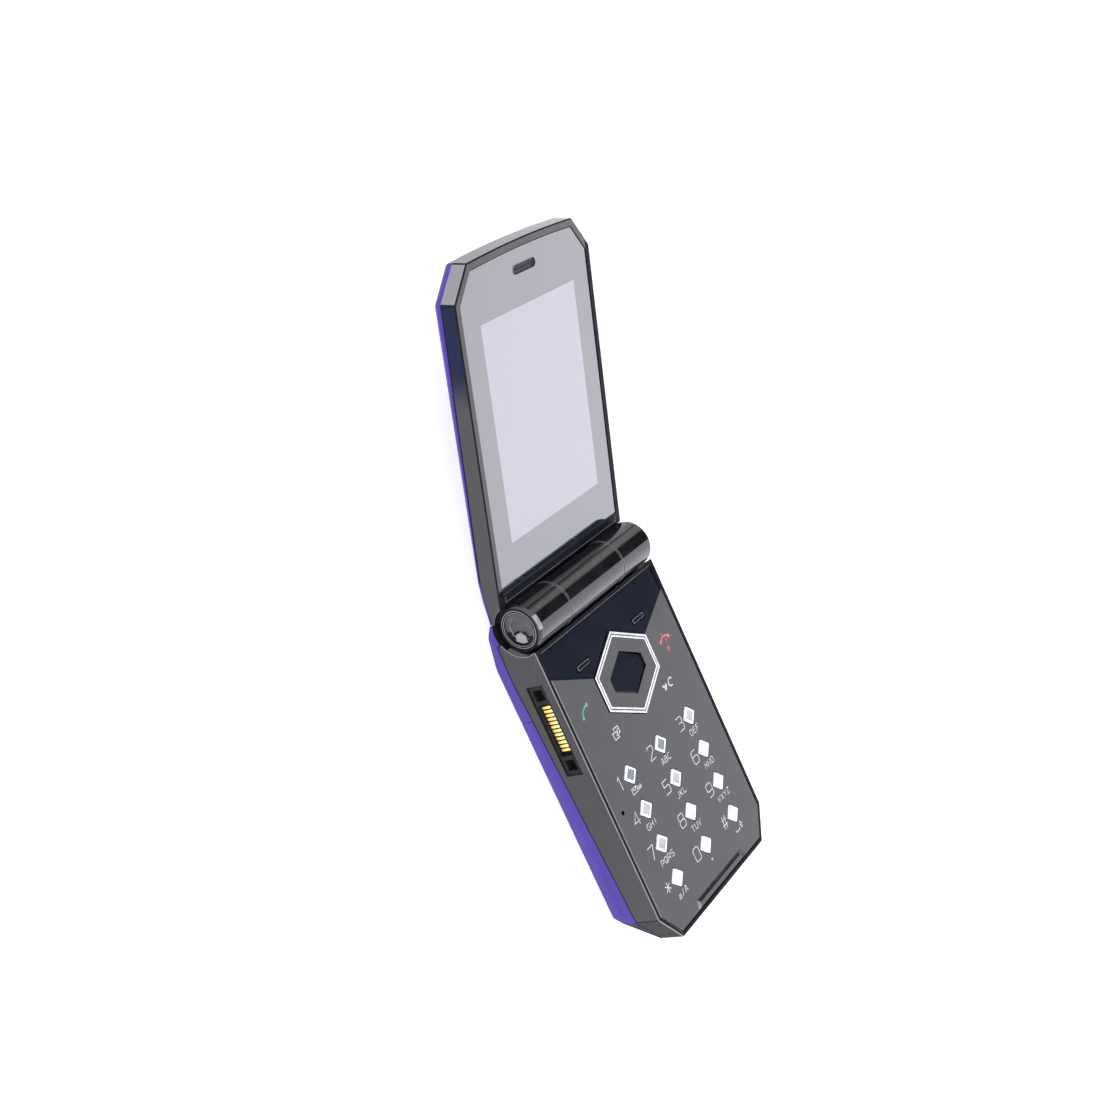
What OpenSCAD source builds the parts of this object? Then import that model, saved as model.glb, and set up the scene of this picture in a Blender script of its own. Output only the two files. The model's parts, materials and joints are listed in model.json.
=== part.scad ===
// Folding mobile phone lying on its back, with the lid open against its stop.
// Millimetres. X points to the user's right, Y towards the hinge, Z up out of the keypad.
// The origin is on the flat back, under the middle of the keypad plate.
// Lid pieces are drawn in the lid's own axes: x across, y along the lid from the
// hinge axis, z out of the inner face, and on_lid() stands them open.

/* [Base] */
// Width of the keypad plate
plate_w = 41.9; // [40:0.1:46]
// Length of the keypad plate
plate_l = 61.5; // [60:0.1:68]
// Thickness of the keypad plate
plate_t = 1.1; // [0.9:0.05:1.4]
// Thickness of the base, from the flat back to the top of the plate
base_t = 11.6; // [11.2:0.1:13]
// Rim of the frame round the keypad plate
rim_w = 0.85; // [0.6:0.05:1.2]
// Cut corners at the front of the plate, measured across
front_cut_x = 4.1; // [3.5:0.1:6]
// Cut corners at the front of the plate, measured along
front_cut_y = 5.9; // [5:0.1:8]
// Ledge of the frame under the edge of the plate
plate_ledge = 0.95; // [0.7:0.05:1.3]
// Depth of the parting line between frame and back cover, at the front, below the top of the plate
band_front = 5.2; // [4.6:0.1:6]
// Depth of the parting line between frame and back cover, under the hinge barrel's hollow
split_under = 0.86; // [0.5:0.02:1.2]
// Thickness of the floor of the back cover
cover_floor = 1; // [0.9:0.05:1.3]
// Height of the bevel along the lower edge of the back cover
bevel_h = 0.4; // [0.3:0.1:1]
// Inset of the lower edge of the back cover
bevel_in = 0.5; // [0.4:0.1:1.2]
// Width of the sloping facet round the flat back
back_facet = 5; // [3:0.5:6]
// Place of the seam between battery cover and rear cap, in front of the plate's rear edge
seam_back = 12; // [11:0.1:13]
// Travel of the battery cover before it lifts away
cover_travel = 4; // [3:0.5:5]

/* [Hinge] */
// Gap between the rear edge of the plate and the hinge barrel
neck = 0.77; // [0.6:0.01:1.2]
// Hinge axis below the top of the plate
axis_drop = 2.22; // [2:0.02:2.5]
// Radius of the hinge barrel
barrel_r = 4.77; // [4.6:0.01:4.9]
// Inset of the barrel's ends from the sides of the lid
barrel_inset = 1; // [0.5:0.05:1.2]
// Half length of the middle knuckle
knuckle_half = 9.73; // [9:0.01:11]
// Slope of the open lid above level
open_tilt = 20.5; // [10:0.5:30]
// Bore of the middle knuckle, as a radius
knuckle_bore = 3.2; // [3:0.05:3.4]
// Radius of the cable tube in the left knuckle
tube_r = 2.2; // [1.9:0.05:2.4]
// Radius of the spring shaft in the right knuckle
shaft_r = 1.8; // [1.6:0.05:2]
// Radius of the thin end of the spring shaft
shaft_tip_r = 1.2; // [1:0.05:1.3]
// Radius of the end caps
cap_r = 3.88; // [3.6:0.02:4]
// Depth of the end caps
cap_t = 1.6; // [1.2:0.1:2]

/* [Lid] */
// Inset of the lid's sides from the sides of the base
lid_inset = 0; // [0:0.05:0.5]
// Inset of the shut lid's free end from the front of the base
lid_short = 0.69; // [0.4:0.01:2.4]
// Cut corners at the free end of the lid, measured across
lid_cut_x = 4.9; // [4:0.1:7]
// Cut corners at the free end of the lid, measured along
lid_cut_y = 6.1; // [4.5:0.1:8]
// Bow of the lid's free end, whose middle stands out beyond its corners
end_bow = 0.5; // [0:0.05:1]
// Gap between the keypad and the lid's inner face when shut
closed_gap = 0.32; // [0.28:0.02:0.6]
// Depth of the black band round the lid
band_t = 3; // [2.9:0.1:3.6]
// Depth of the edge of the coloured cover
edge_t = 1.5; // [1:0.1:1.8]
// Fall of the seam between band and cover, from the free end to the hinge
seam_fall = 0.9; // [0:0.05:0.9]
// Rise of the facets from the edge to the crown of the cover
crown_t = 1.8; // [1.6:0.1:2.6]
// Wall of the coloured cover
lid_wall = 0.9; // [0.7:0.05:1.1]
// Lip of the frame round the glass
lip_w = 1.5; // [0.6:0.05:1.8]
// Thickness of the glass
glass_t = 0.65; // [0.5:0.05:0.8]
// Depth of the glass below the lip
glass_in = 0.15; // [0.1:0.05:0.3]
// Lower edge of the glass from the hinge axis
glass_start = 6.4; // [6:0.1:7.5]
// Border of the lid beside the picture area
border_side = 6.5; // [5.8:0.05:7]
// Border of the lid beyond the picture area, at the free end
border_top = 11.75; // [10.4:0.05:12.5]
// Lower edge of the picture area from the hinge axis
picture_start = 14.65; // [14:0.05:15.5]
// Margin of the display panel beside the picture area
panel_margin = 1.6; // [1.2:0.1:2]
// Thickness of the display panel
panel_t = 1.5; // [1.2:0.1:1.6]
// Earpiece slot length
ear_l = 7.6; // [6:0.1:9]
// Earpiece slot width
ear_w = 2; // [1.6:0.1:2.4]
// Distance of the earpiece from the free end of the lid
ear_from_end = 5.2; // [4:0.1:6]

/* [Keys] */
// Spacing of the key columns
key_pitch_x = 11.94; // [11:0.02:12.6]
// Last key row from the front edge of the plate
key_front = 8.91; // [8.4:0.01:9.6]
// First key row from the rear edge of the plate
key_first = 29.94; // [29.5:0.02:30.5]
// Width of a diamond key across its corners
pip_x = 4.2; // [3.6:0.1:4.6]
// Length of a diamond key across its corners
pip_y = 4; // [3.6:0.1:4.4]
// Height of the keys above the plate
key_proud = 0.2; // [0.1:0.05:0.25]
// Travel of a key
key_travel = 0.25; // [0.15:0.05:0.3]
// Clearance round a key in the plate
key_gap = 0.15; // [0.1:0.05:0.25]
// Length of a soft key bar
soft_l = 4.5; // [3.5:0.1:5]
// Width of a soft key bar
soft_w = 1.1; // [0.9:0.1:1.5]
// Soft keys from the middle of the plate
soft_x = 10.45; // [10:0.05:11.5]
// Soft keys beyond the middle of the navigation key
soft_above = 7.01; // [6.8:0.01:7.4]

/* [Navigation key] */
// Centre of the navigation key from the rear edge of the plate
nav_back = 14.11; // [14:0.01:14.4]
// Half width of the navigation key
nav_half_w = 9.75; // [9.5:0.05:9.9]
// Half height of the navigation key
nav_half_h = 8.95; // [8.7:0.05:9.1]
// Half length of its upright sides
nav_side = 3.58; // [3.2:0.02:4]
// Half width of the select key
sel_half_w = 5.8; // [5.4:0.05:5.9]
// Half height of the select key
sel_half_h = 4.49; // [4:0.01:4.7]
// Half length of the select key's upright sides
sel_side = 1.27; // [1:0.01:1.5]
// Tilt of the navigation key each way
nav_tilt = 1.2; // [0.8:0.1:1.4]

/* [Side port] */
// Length of the connector in the left wall
port_l = 18.4; // [17:0.1:19]
// Height of the connector
port_h = 3.7; // [3.3:0.1:3.8]
// Depth of the connector
port_d = 3; // [2.6:0.1:3.2]
// Near end of the connector from the rear edge of the plate
port_back = 5.5; // [5:0.1:6]
// Top of the connector below the top of the plate
port_below = 1.9; // [1.7:0.1:2]
// Number of contacts
pin_count = 12; // [8:1:12]
// Spacing of the contacts
pin_pitch = 0.81; // [0.7:0.01:0.85]

/* [Inside] */
// Space between the keypad plate and the main board
board_gap = 2; // [1.95:0.05:2.4]
// Thickness of the main board
board_t = 0.8; // [0.6:0.1:0.9]
// Height of the shield cans under the board
shield_h = 1.05; // [0.9:0.05:1.2]
// Thickness of the frame's middle floor
floor_t = 0.55; // [0.5:0.05:0.8]
// Thickness of the card holder above the battery
sim_t = 0.7; // [0.6:0.05:0.8]
// Distance of the battery's sides from the sides of the plate
battery_side = 3.95; // [3.7:0.05:6]
// Screw shank radius
screw_r = 0.7; // [0.6:0.05:0.8]
// Screw head radius
screw_head_r = 1.2; // [1:0.05:1.3]

/* [Hidden] */
$fn = 48;
key_names = ["key_1", "key_2", "key_3", "key_4", "key_5", "key_6", "key_7", "key_8", "key_9",
    "key_star", "key_0", "key_hash"];

// Colours
black = [0.05, 0.05, 0.06];
grey = [0.32, 0.32, 0.34];
violet = [0.36, 0.32, 0.72];
steel = [0.62, 0.63, 0.65];
gold = [0.83, 0.66, 0.28];
green = [0.12, 0.36, 0.22];
white = [0.88, 0.88, 0.9];

// Small clearances, named once
seat = 0.05;
slip = 0.2;
run_gap = 0.04;
barrel_gap = 0.35;
knuckle_gap = 0.2;
seam_gap = 0.1;
stop_gap = 0.15;

// Plan of the base
plate_y0 = -plate_l / 2;
plate_y1 = plate_l / 2;
outer_hw = plate_w / 2 + rim_w;
lid_w = 2 * (outer_hw - lid_inset);
barrel_half = lid_w / 2 - barrel_inset;
battery_w = plate_w - 2 * battery_side;
key_pitch_y = (plate_l - key_first - key_front) / 3;
soft_back = nav_back - soft_above;
front_y = plate_y0 - rim_w;
wall_in = plate_w / 2 - plate_ledge;
mat_hw = wall_in - 3.66;

// Heights in the base, from the keypad down
plate_z0 = base_t - plate_t;
flange_t = 0.5;
flange_z1 = plate_z0 - seat;
flange_z0 = flange_z1 - flange_t;
flange_out = 0.5;
mat_t = 0.35;
mat_z1 = flange_z0 - key_travel - seat;
mat_z0 = mat_z1 - mat_t;
board_z1 = plate_z0 - board_gap;
board_z0 = board_z1 - board_t;
sheet_t = 0.1;
sheet_z1 = board_z1 + sheet_t;
dome_h = 0.25;
dome_r = 1.3;
foot_z0 = sheet_z1 + dome_h + key_travel + seat;
foot_r = 0.8;
floor_z1 = board_z0 - shield_h - seat;
floor_z0 = floor_z1 - floor_t;
battery_z0 = cover_floor + slip / 2;
battery_z1 = floor_z0 - sim_t - seat;

// Hinge
axis_back = barrel_r + neck;
axis_y = plate_y1 + axis_back;
axis_z = base_t - axis_drop;
cut_r = barrel_r + barrel_gap;
split_front = base_t - band_front;
split_rear = axis_z - cut_r - split_under;
tail_back = 2.26;
rear_y = axis_y + tail_back;
tail_y = axis_y - 1.8;
kink_y = plate_y1 - 3.2;
tail_split = split_rear + 0.35;
tail_low = axis_z - sqrt(cut_r * cut_r - tail_back * tail_back) - 0.6;
cap_x = barrel_half - cap_t;
knuckle_in = knuckle_half + knuckle_gap;
case_x0 = -knuckle_half * 0.24;
case_wall = 0.5;

// Lid lengths and heights, out of the hinge axis
lid_len = plate_l + axis_back + rim_w - lid_short;
picture_w = lid_w - 2 * border_side;
picture_h = lid_len - picture_start - border_top;
face_n = -(axis_drop + closed_gap);
band_n = face_n - band_t;
edge_n = band_n - edge_t;
seam_n = band_n - seam_fall;
crown_n = edge_n - crown_t;
glass_n1 = face_n - glass_in;
glass_n0 = glass_n1 - glass_t;
ledge_t = 0.6;
ledge_n0 = glass_n0 - ledge_t;
panel_n1 = glass_n0 - seat;
panel_n0 = panel_n1 - panel_t;
panel_hw = picture_w / 2 + panel_margin;
panel_s0 = picture_start - 3.4;
panel_s1 = picture_start + picture_h + panel_margin;
sheet_metal = 0.3;
bracket_out = 0.8;
bracket_n0 = panel_n0 - seat - sheet_metal;
lid_board_t = 0.6;
lid_board_n0 = bracket_n0 - seat - lid_board_t;
lid_side = 1.4;
lid_taper = 8.3;
ear_s = lid_len - ear_from_end;
// The open lid's lower end stops just short of the rear cap's tip
lid_s0 = tail_back * cos(open_tilt) - sqrt(cut_r * cut_r - tail_back * tail_back) * sin(open_tilt) + stop_gap;
tail_n = -(barrel_r + 0.5);

// Crown of the faceted lid cover
crown_in = 10.55;
crown_hw = lid_w / 2 - crown_in;
crown_s0 = 15;
crown_slant = 10;
crown_s1 = lid_len - crown_slant;
crown_mid0 = crown_s0 + crown_slant;
crown_mid1 = crown_s1 - crown_slant;
clock_w = crown_hw + 4;
clock_h = 6;
clock_s = (crown_s0 + crown_s1) / 2;

// Navigation key
nav_y = plate_y1 - nav_back;
nav_flange = 0.6;
// Room above the flange, so that the key can tilt
nav_room = (nav_half_w + nav_flange) * tan(nav_tilt) + 2 * run_gap;
nav_flange_z1 = plate_z0 - nav_room;
nav_flange_z0 = nav_flange_z1 - 0.3;
nav_axis_z = nav_flange_z0 - 0.55;
sel_flange = 0.35;
sel_pocket = sel_flange + 0.25;
// The skirt that presses the four domes goes round the select key's pocket
skirt_r = sel_half_w + sel_pocket + 0.35;
rocker_r0 = skirt_r + 0.7;
rocker_r1 = rocker_r0 + 0.7;
rocker_t = 0.5;
pivot_r = 0.25;
lug_t = 0.6;
lug_x0 = nav_half_w + nav_flange + slip / 2;
lug_drop = 0.45;

// The dark facet of the plate falls towards the hinge
facet_side = 5.2;
facet_step = 0.1;
facet_drop = 0.7;
facet_y = nav_y + nav_side;
facet_tilt = atan((facet_drop - facet_step) / (plate_y1 - facet_y));

// Under the cut corners the back cover slopes up to the frame
bevel_z = 3;
chin_y = front_y + cut_grow(front_cut_y, front_cut_x, rim_w);
chin_top = split_front - 0.35;
chin_slope = (chin_top - bevel_z) / (chin_y - front_y);
chin_skew = sqrt(1 + chin_slope * chin_slope) / chin_slope;

// Battery bay and rear bay, below the middle floor
cover_in = 1.15;
skirt_in = cover_in + slip;
skirt_z0 = cover_floor + 0.3;
seam_y = plate_y1 - seam_back;
bay_hw = battery_w / 2 + 0.25;
bay_y0 = chin_y + skirt_in * chin_skew + bevel_z / 2;
bay_y1 = seam_y - 1.55;
rear_bay_y0 = seam_y + 1.25;
rear_bay_y1 = rear_bay_y0 + 6.2;
skirt_y1 = rear_bay_y1 + 1;
rail_len = 4.6;
rail_z = 2.6;
rail_h = 0.5;
rail_reach = 0.75;
rail_ys = [bay_y0 + 6.44, seam_y - 10.75];
bay_mid = (bay_y0 + bay_y1) / 2;

// Fasteners: two in front of the battery, two behind it
boss_r = 1.3;
screw_rear_x = nav_half_w + nav_flange + boss_r + 0.55;
screw_front_x = key_pitch_x / 2;
screw_front_y = bay_y0 - screw_head_r - 1;
screw_xy = [[screw_front_x, screw_front_y], [-screw_front_x, screw_front_y],
    [screw_rear_x, seam_y - 0.15], [-screw_rear_x, seam_y - 0.15]];
screw_z0 = floor_z0 - 0.9;
screw_z1 = plate_z0 - 0.4;
lid_screw_r = 0.5;
lid_boss_r = 1.35;
lid_screw_x = panel_hw + bracket_out + 0.35 + lid_boss_r;
lid_screw_xy = [for (x = [-1, 1], s = [panel_s0 + 1.6, panel_s1 - 1.6]) [x * lid_screw_x, s]];

// Connector
port_y1 = plate_y1 - port_back;
port_y0 = port_y1 - port_l;
port_z1 = base_t - port_below;
port_z0 = port_z1 - port_h;
port_in = outer_hw - 0.3;
port_end = port_in - port_d;
port_mid = (port_y0 + port_y1) / 2;
pin_row = pin_count * pin_pitch;

// Side key in the right wall
side_y = port_mid - 2;
side_z = (board_z1 + plate_z0) / 2;
side_half = 4;
side_half_h = 0.7;

// Shapes with cut corners, grown outwards by d
function cut_grow(a, b, d) = a + d * (1 - (sqrt(a * a + b * b) - a) / b);

function base_outline(d, y_back) =
    let (hw = plate_w / 2 + d,
         y0 = plate_y0 - d,
         cx = cut_grow(front_cut_x, front_cut_y, d),
         cy = cut_grow(front_cut_y, front_cut_x, d))
    [[hw - cx, y0], [hw, y0 + cy], [hw, y_back], [-hw, y_back], [-hw, y0 + cy], [cx - hw, y0]];

function lid_outline(d, s0) =
    let (hw = lid_w / 2 + d,
         s1 = lid_len + d,
         cx = cut_grow(lid_cut_x, lid_cut_y, d),
         cy = cut_grow(lid_cut_y, lid_cut_x, d))
    concat([[-hw, s0], [hw, s0], [hw, s1 - end_bow - cy]],
        [for (i = [1:-0.25:-1]) [(hw - cx) * i, s1 - end_bow * i * i]],
        [[-hw, s1 - end_bow - cy]]);

// Upright hexagon with its points at top and bottom
function hexagon(w, h, side, d) =
    let (rise = h - side,
         run = sqrt(rise * rise + w * w),
         tip = h + d * run / w,
         corner = side + d * (run - rise) / w,
         edge = w + d)
    [[edge, corner], [0, tip], [-edge, corner], [-edge, -corner], [0, -tip], [edge, -corner]];

function diamond(d) =
    let (a = pip_x / 2, b = pip_y / 2, run = sqrt(a * a + b * b))
    [[a + d * run / b, 0], [0, b + d * run / a], [-a - d * run / b, 0], [0, -b - d * run / a]];

function key_at(k) = [(k % 3 - 1) * key_pitch_x, plate_y1 - key_first - floor(k / 3) * key_pitch_y];

// Helpers
module prism(points, z0, z1) {
    translate([0, 0, z0])
        linear_extrude(z1 - z0)
            polygon(points);
}

// A profile in Y and Z, extruded across X
module across(points, x0, x1) {
    translate([x0, 0, 0])
        rotate([90, 0, 90])
            linear_extrude(x1 - x0)
                polygon(points);
}

module block(low, high) {
    translate(low)
        cube(high - low);
}

module rod(r, x0, x1) {
    translate([x0, 0, 0])
        rotate([0, 90, 0])
            cylinder(r = r, h = x1 - x0);
}

module pipe(r, bore, x0, x1) {
    difference() {
        rod(r, x0, x1);
        rod(bore, x0 - 1, x1 + 1);
    }
}

// A slot with round ends, lying along X
module slot(l, w, z0, z1) {
    block([-(l - w) / 2, -w / 2, z0], [(l - w) / 2, w / 2, z1]);
    for (x = [-1, 1])
        translate([x * (l - w) / 2, 0, z0])
            cylinder(d = w, h = z1 - z0);
}

module at_axis() {
    translate([0, axis_y, axis_z])
        children();
}

module on_lid() {
    at_axis()
        rotate([open_tilt, 0, 0])
            children();
}

// Base: frame and covers
function frame_side() =
    [[front_y - 1, split_front], [kink_y, split_rear], [tail_y, tail_split], [tail_y, axis_z],
     [plate_y1 + rim_w, axis_z], [plate_y1 + rim_w, base_t], [front_y - 1, base_t]];

function cover_side() =
    [[front_y - 1, split_front - seam_gap], [front_y - 1, -1], [front_y, 0], [kink_y, 0],
     [axis_y, tail_low / 2 + 0.4], [rear_y, tail_low], [rear_y, axis_z], [tail_y + seam_gap, axis_z],
     [tail_y + seam_gap, tail_split - seam_gap], [kink_y, split_rear - seam_gap]];

// All that lies behind the sloping front of the back cover, moved inwards by d
function behind_chin(d) =
    let (dy = d * chin_skew)
    [[front_y - 1 + dy, base_t], [front_y - 1 + dy, chin_top + chin_slope], [chin_y + dy, bevel_z],
     [chin_y + dy + 0.5 * (bevel_z + 1), -1], [rear_y + 1, -1], [rear_y + 1, base_t]];

module frame_walls() {
    difference() {
        intersection() {
            prism(base_outline(rim_w, tail_y), 0, base_t);
            across(frame_side(), -outer_hw - 1, outer_hw + 1);
        }
        at_axis()
            rod(cut_r, -outer_hw - 1, outer_hw + 1);
    }
    intersection() {
        prism(base_outline(-skirt_in, skirt_y1), skirt_z0, floor_z1);
        across(behind_chin(skirt_in), -outer_hw, outer_hw);
    }
}

// The middle knuckle and the saddle that carries it
module base_knuckle() {
    at_axis() {
        rod(barrel_r, -knuckle_half, knuckle_half);
        intersection() {
            rod(cut_r + 0.3, -knuckle_half, knuckle_half);
            block([-knuckle_half, -cut_r - 1, -cut_r - 1], [knuckle_half, tail_y - axis_y, 0.8]);
        }
    }
}

module screw_holes(r, z0, z1) {
    for (p = screw_xy)
        translate([p[0], p[1], z0])
            cylinder(r = r, h = z1 - z0);
}

module base_frame() {
    color(black)
        difference() {
            union() {
                difference() {
                    union() {
                        frame_walls();
                        base_knuckle();
                    }
                    prism(base_outline(seat, plate_y1 + seat), plate_z0, base_t + 1);
                    prism(base_outline(-plate_ledge, plate_y1 - plate_ledge), floor_z1, base_t);
                    block([-bay_hw, bay_y0, 0], [bay_hw, bay_y1, floor_z0]);
                    block([-bay_hw, rear_bay_y0, 0], [bay_hw, rear_bay_y1, floor_z0]);
                }
                screw_posts();
                block([-antenna_hw - 1, plate_y0, split_front], [antenna_hw + 1, board_y0 - slip, shelf_z]);
            }
            screw_holes(screw_r + seat, 0, board_z1);
            screw_holes(screw_head_r + slip / 2, 0, screw_z0);
            at_axis()
                rod(knuckle_bore, -knuckle_half - 1, knuckle_half + 1);
            block([-outer_hw - 1, port_y0, port_z0], [-port_end + seat, port_y1, port_z1]);
            block([wall_in - 0.5, side_y - side_half - key_gap, side_z - side_half_h - key_gap],
                [outer_hw + 1, side_y + side_half + key_gap, side_z + side_half_h + key_gap]);
            for (side = [-1, 1], y = rail_ys)
                rail_groove(side, y);
        }
}

module screw_posts() {
    for (p = screw_xy)
        translate([p[0], p[1], floor_z0])
            cylinder(r = boss_r + 0.4, h = board_z0 - floor_z0);
}

module rail_groove(side, y) {
    x1 = plate_w / 2 - skirt_in;
    translate([side * (x1 - rail_reach / 2 + 0.1), y + rail_len / 2 - cover_travel / 2, rail_z])
        cube([rail_reach + 0.2, rail_len + cover_travel + 2 * slip, rail_h + 2 * slip], center = true);
}

module rail_tongue(side, y) {
    x1 = plate_w / 2 - cover_in;
    translate([side * (x1 - rail_reach / 2 + 0.1), y + rail_len / 2, rail_z])
        cube([rail_reach + 0.2, rail_len, rail_h], center = true);
}

// The whole coloured back, before it is parted at the seam
module back_solid() {
    difference() {
        intersection() {
            hull() {
                prism(base_outline(rim_w, rear_y), bevel_z, split_front);
                prism(base_outline(rim_w - bevel_in, rear_y - bevel_in), bevel_h, bevel_h + 0.1);
                prism(base_outline(rim_w - bevel_in - back_facet, kink_y), 0, 0.1);
            }
            across(cover_side(), -outer_hw - 1, outer_hw + 1);
            across(behind_chin(0), -outer_hw - 1, outer_hw + 1);
        }
        intersection() {
            prism(base_outline(-cover_in, skirt_y1 + slip), cover_floor, axis_z);
            across(behind_chin(cover_in), -outer_hw, outer_hw);
        }
        at_axis()
            rod(cut_r, -outer_hw - 1, outer_hw + 1);
    }
}

module battery_cover() {
    color(violet)
        union() {
            intersection() {
                back_solid();
                block([-outer_hw - 1, front_y - 1, -1], [outer_hw + 1, seam_y - seam_gap / 2, base_t]);
            }
            for (side = [-1, 1], y = rail_ys)
                rail_tongue(side, y);
        }
}

module rear_cap() {
    color(violet)
        difference() {
            intersection() {
                back_solid();
                block([-outer_hw - 1, seam_y + seam_gap / 2, -1], [outer_hw + 1, rear_y + 1, base_t]);
            }
            translate([camera_x, camera_y, -1])
                cylinder(r = lens_r + seat, h = cover_floor + 2);
            for (i = [0:4])
                translate([speaker_x - 4 + 2 * i, camera_y, -1])
                    rotate([0, 0, 90])
                        slot(4, 0.8, 0, cover_floor + 2);
        }
}

// Rear bay: camera, loudspeaker and vibration motor
camera_y = (rear_bay_y0 + rear_bay_y1) / 2;
camera_half = (rear_bay_y1 - rear_bay_y0) / 2 - seat;
camera_x = 7;
lens_r = 2.4;
speaker_half = 6.8;
speaker_x = 0.95 + speaker_half - bay_hw;
motor_r = 1.9;
motor_x0 = camera_x + camera_half + 1;
weight_x0 = bay_hw - 1.5;

module camera_module() {
    color(black)
        union() {
            block([camera_x - camera_half, camera_y - camera_half, 3.2],
                [camera_x + camera_half, camera_y + camera_half, floor_z0 - seat]);
            translate([camera_x, camera_y, cover_floor + seat])
                cylinder(r = lens_r - 0.2, h = 3.3 - cover_floor);
        }
}

module camera_window() {
    color(grey)
        translate([camera_x, camera_y, cover_floor - 0.7])
            cylinder(r = lens_r, h = 0.7);
}

module loudspeaker() {
    color(grey)
        difference() {
            block([speaker_x - speaker_half, camera_y - camera_half, 2.6],
                [speaker_x + speaker_half, camera_y + camera_half, floor_z0 - seat]);
            translate([speaker_x, camera_y, 2])
                slot(10, 4, 0, 1);
        }
}

module vibration_motor() {
    color(steel)
        translate([0, camera_y, floor_z0 - motor_r - seat])
            union() {
                rod(motor_r, motor_x0, weight_x0 - 0.6);
                rod(0.4, weight_x0 - 0.7, weight_x0 + 0.1);
                intersection() {
                    rod(motor_r - 0.1, weight_x0, bay_hw - slip);
                    block([0, -motor_r, -motor_r], [bay_hw, motor_r, 0.4]);
                }
            }
}

// Base: keypad stack
module keypad_plate() {
    color(black)
        difference() {
            union() {
                prism(base_outline(-seat, plate_y1 - seat), plate_z0, base_t);
                for (p = screw_xy)
                    translate([p[0], p[1], board_z1])
                        cylinder(r = boss_r, h = board_gap);
                for (side = [-1, 1])
                    nav_lug(side);
            }
            facet_cut();
            for (k = [0:11])
                translate(key_at(k))
                    prism(diamond(key_gap), plate_z0 - 1, base_t + 1);
            for (side = [-1, 1])
                translate([side * soft_x, plate_y1 - soft_back, 0])
                    block([-soft_l / 2 - key_gap, -soft_w / 2 - key_gap, plate_z0 - 1],
                        [soft_l / 2 + key_gap, soft_w / 2 + key_gap, base_t + 1]);
            translate([0, nav_y, 0])
                prism(hexagon(nav_half_w, nav_half_h, nav_side, key_gap), plate_z0 - 1, base_t + 1);
            translate([0, nav_y, nav_axis_z])
                rod(pivot_r + seat, -outer_hw, outer_hw);
            thumb_notch();
            translate([mic_x, mic_y, plate_z0 - 1])
                cylinder(r = 0.45, h = plate_t + 2);
            screw_holes(screw_r + run_gap / 2, board_z1 - 1, plate_z0);
        }
}

// Shallow scoop in the plate's front edge, open to the front and sloping down from its rear and its ends
notch_hw = 9.45;
notch_y = plate_y0 + 2.15;
notch_flare = 1.05;
notch_slope = 0.7;
notch_drop = 0.32;

module thumb_notch() {
    hull() {
        prism(notch_outline(0), base_t, base_t + 0.01);
        prism(notch_outline(notch_slope), base_t - notch_drop, base_t);
    }
}

function notch_outline(in) =
    [[-notch_hw - notch_flare + in, plate_y0 - 1], [notch_hw + notch_flare - in, plate_y0 - 1],
    [notch_hw + notch_flare - in, plate_y0], [notch_hw - in, notch_y - in], [-notch_hw + in, notch_y - in],
    [-notch_hw - notch_flare + in, plate_y0]];

// Microphone hole
mic_x = -(mat_hw + 1.95);
mic_y = key_at(0)[1] - 4.66;

module nav_lug(side) {
    translate([0, nav_y, 0])
        block([side > 0 ? lug_x0 : -lug_x0 - lug_t, -0.8, nav_axis_z - lug_drop],
            [side > 0 ? lug_x0 + lug_t : -lug_x0, 0.8, plate_z0]);
}

module facet_cut() {
    intersection() {
        prism([[-outer_hw, plate_y1 - facet_side], [-plate_w / 2, plate_y1 - facet_side], [-nav_half_w, facet_y],
            [nav_half_w, facet_y], [plate_w / 2, plate_y1 - facet_side], [outer_hw, plate_y1 - facet_side],
            [outer_hw, plate_y1 + 1], [-outer_hw, plate_y1 + 1]], plate_z0, base_t + 1);
        facet_above(0);
    }
}

// All that lies above the sloping facet, raised by lift
module facet_above(lift) {
    translate([0, facet_y, base_t - facet_step + lift])
        rotate([-facet_tilt, 0, 0])
            block([-outer_hw - 1, -5, 0], [outer_hw + 1, plate_l / 2, 5]);
}

module key_pip(k) {
    color(white)
        translate(key_at(k))
            union() {
                prism(diamond(0), flange_z0, base_t + key_proud);
                prism(diamond(flange_out), flange_z0, flange_z1);
                translate([0, 0, foot_z0])
                    cylinder(r = foot_r, h = flange_z0 - foot_z0 + seat);
            }
}

module soft_key(side) {
    color(white)
        difference() {
            translate([side * soft_x, plate_y1 - soft_back, 0])
                union() {
                    block([-soft_l / 2, -soft_w / 2, flange_z0], [soft_l / 2, soft_w / 2, base_t + 1]);
                    block([-soft_l / 2 - flange_out, -soft_w / 2 - flange_out, flange_z0],
                        [soft_l / 2 + flange_out, soft_w / 2 + flange_out, flange_z1]);
                    translate([0, 0, foot_z0])
                        cylinder(r = foot_r, h = flange_z0 - foot_z0 + seat);
                }
            facet_above(key_proud);
        }
}

module nav_ring() {
    color(black)
        translate([0, nav_y, 0])
            union() {
                difference() {
                    union() {
                        prism(hexagon(nav_half_w, nav_half_h, nav_side, 0), nav_flange_z0, base_t + key_proud);
                        prism(hexagon(nav_half_w, nav_half_h, nav_side, nav_flange), nav_flange_z0, nav_flange_z1);
                    }
                    prism(hexagon(sel_half_w, sel_half_h, sel_side, key_gap), nav_flange_z0 - 1, base_t + 1);
                    prism(hexagon(sel_half_w, sel_half_h, sel_side, sel_pocket), nav_flange_z0 - 1, plate_z0);
                }
                translate([0, 0, foot_z0])
                    difference() {
                        cylinder(r = skirt_r + 0.5, h = nav_flange_z0 - foot_z0 + seat);
                        translate([0, 0, -1])
                            cylinder(r = skirt_r, h = 4);
                    }
                for (side = [-1, 1])
                    ring_lug(side);
            }
}

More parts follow.
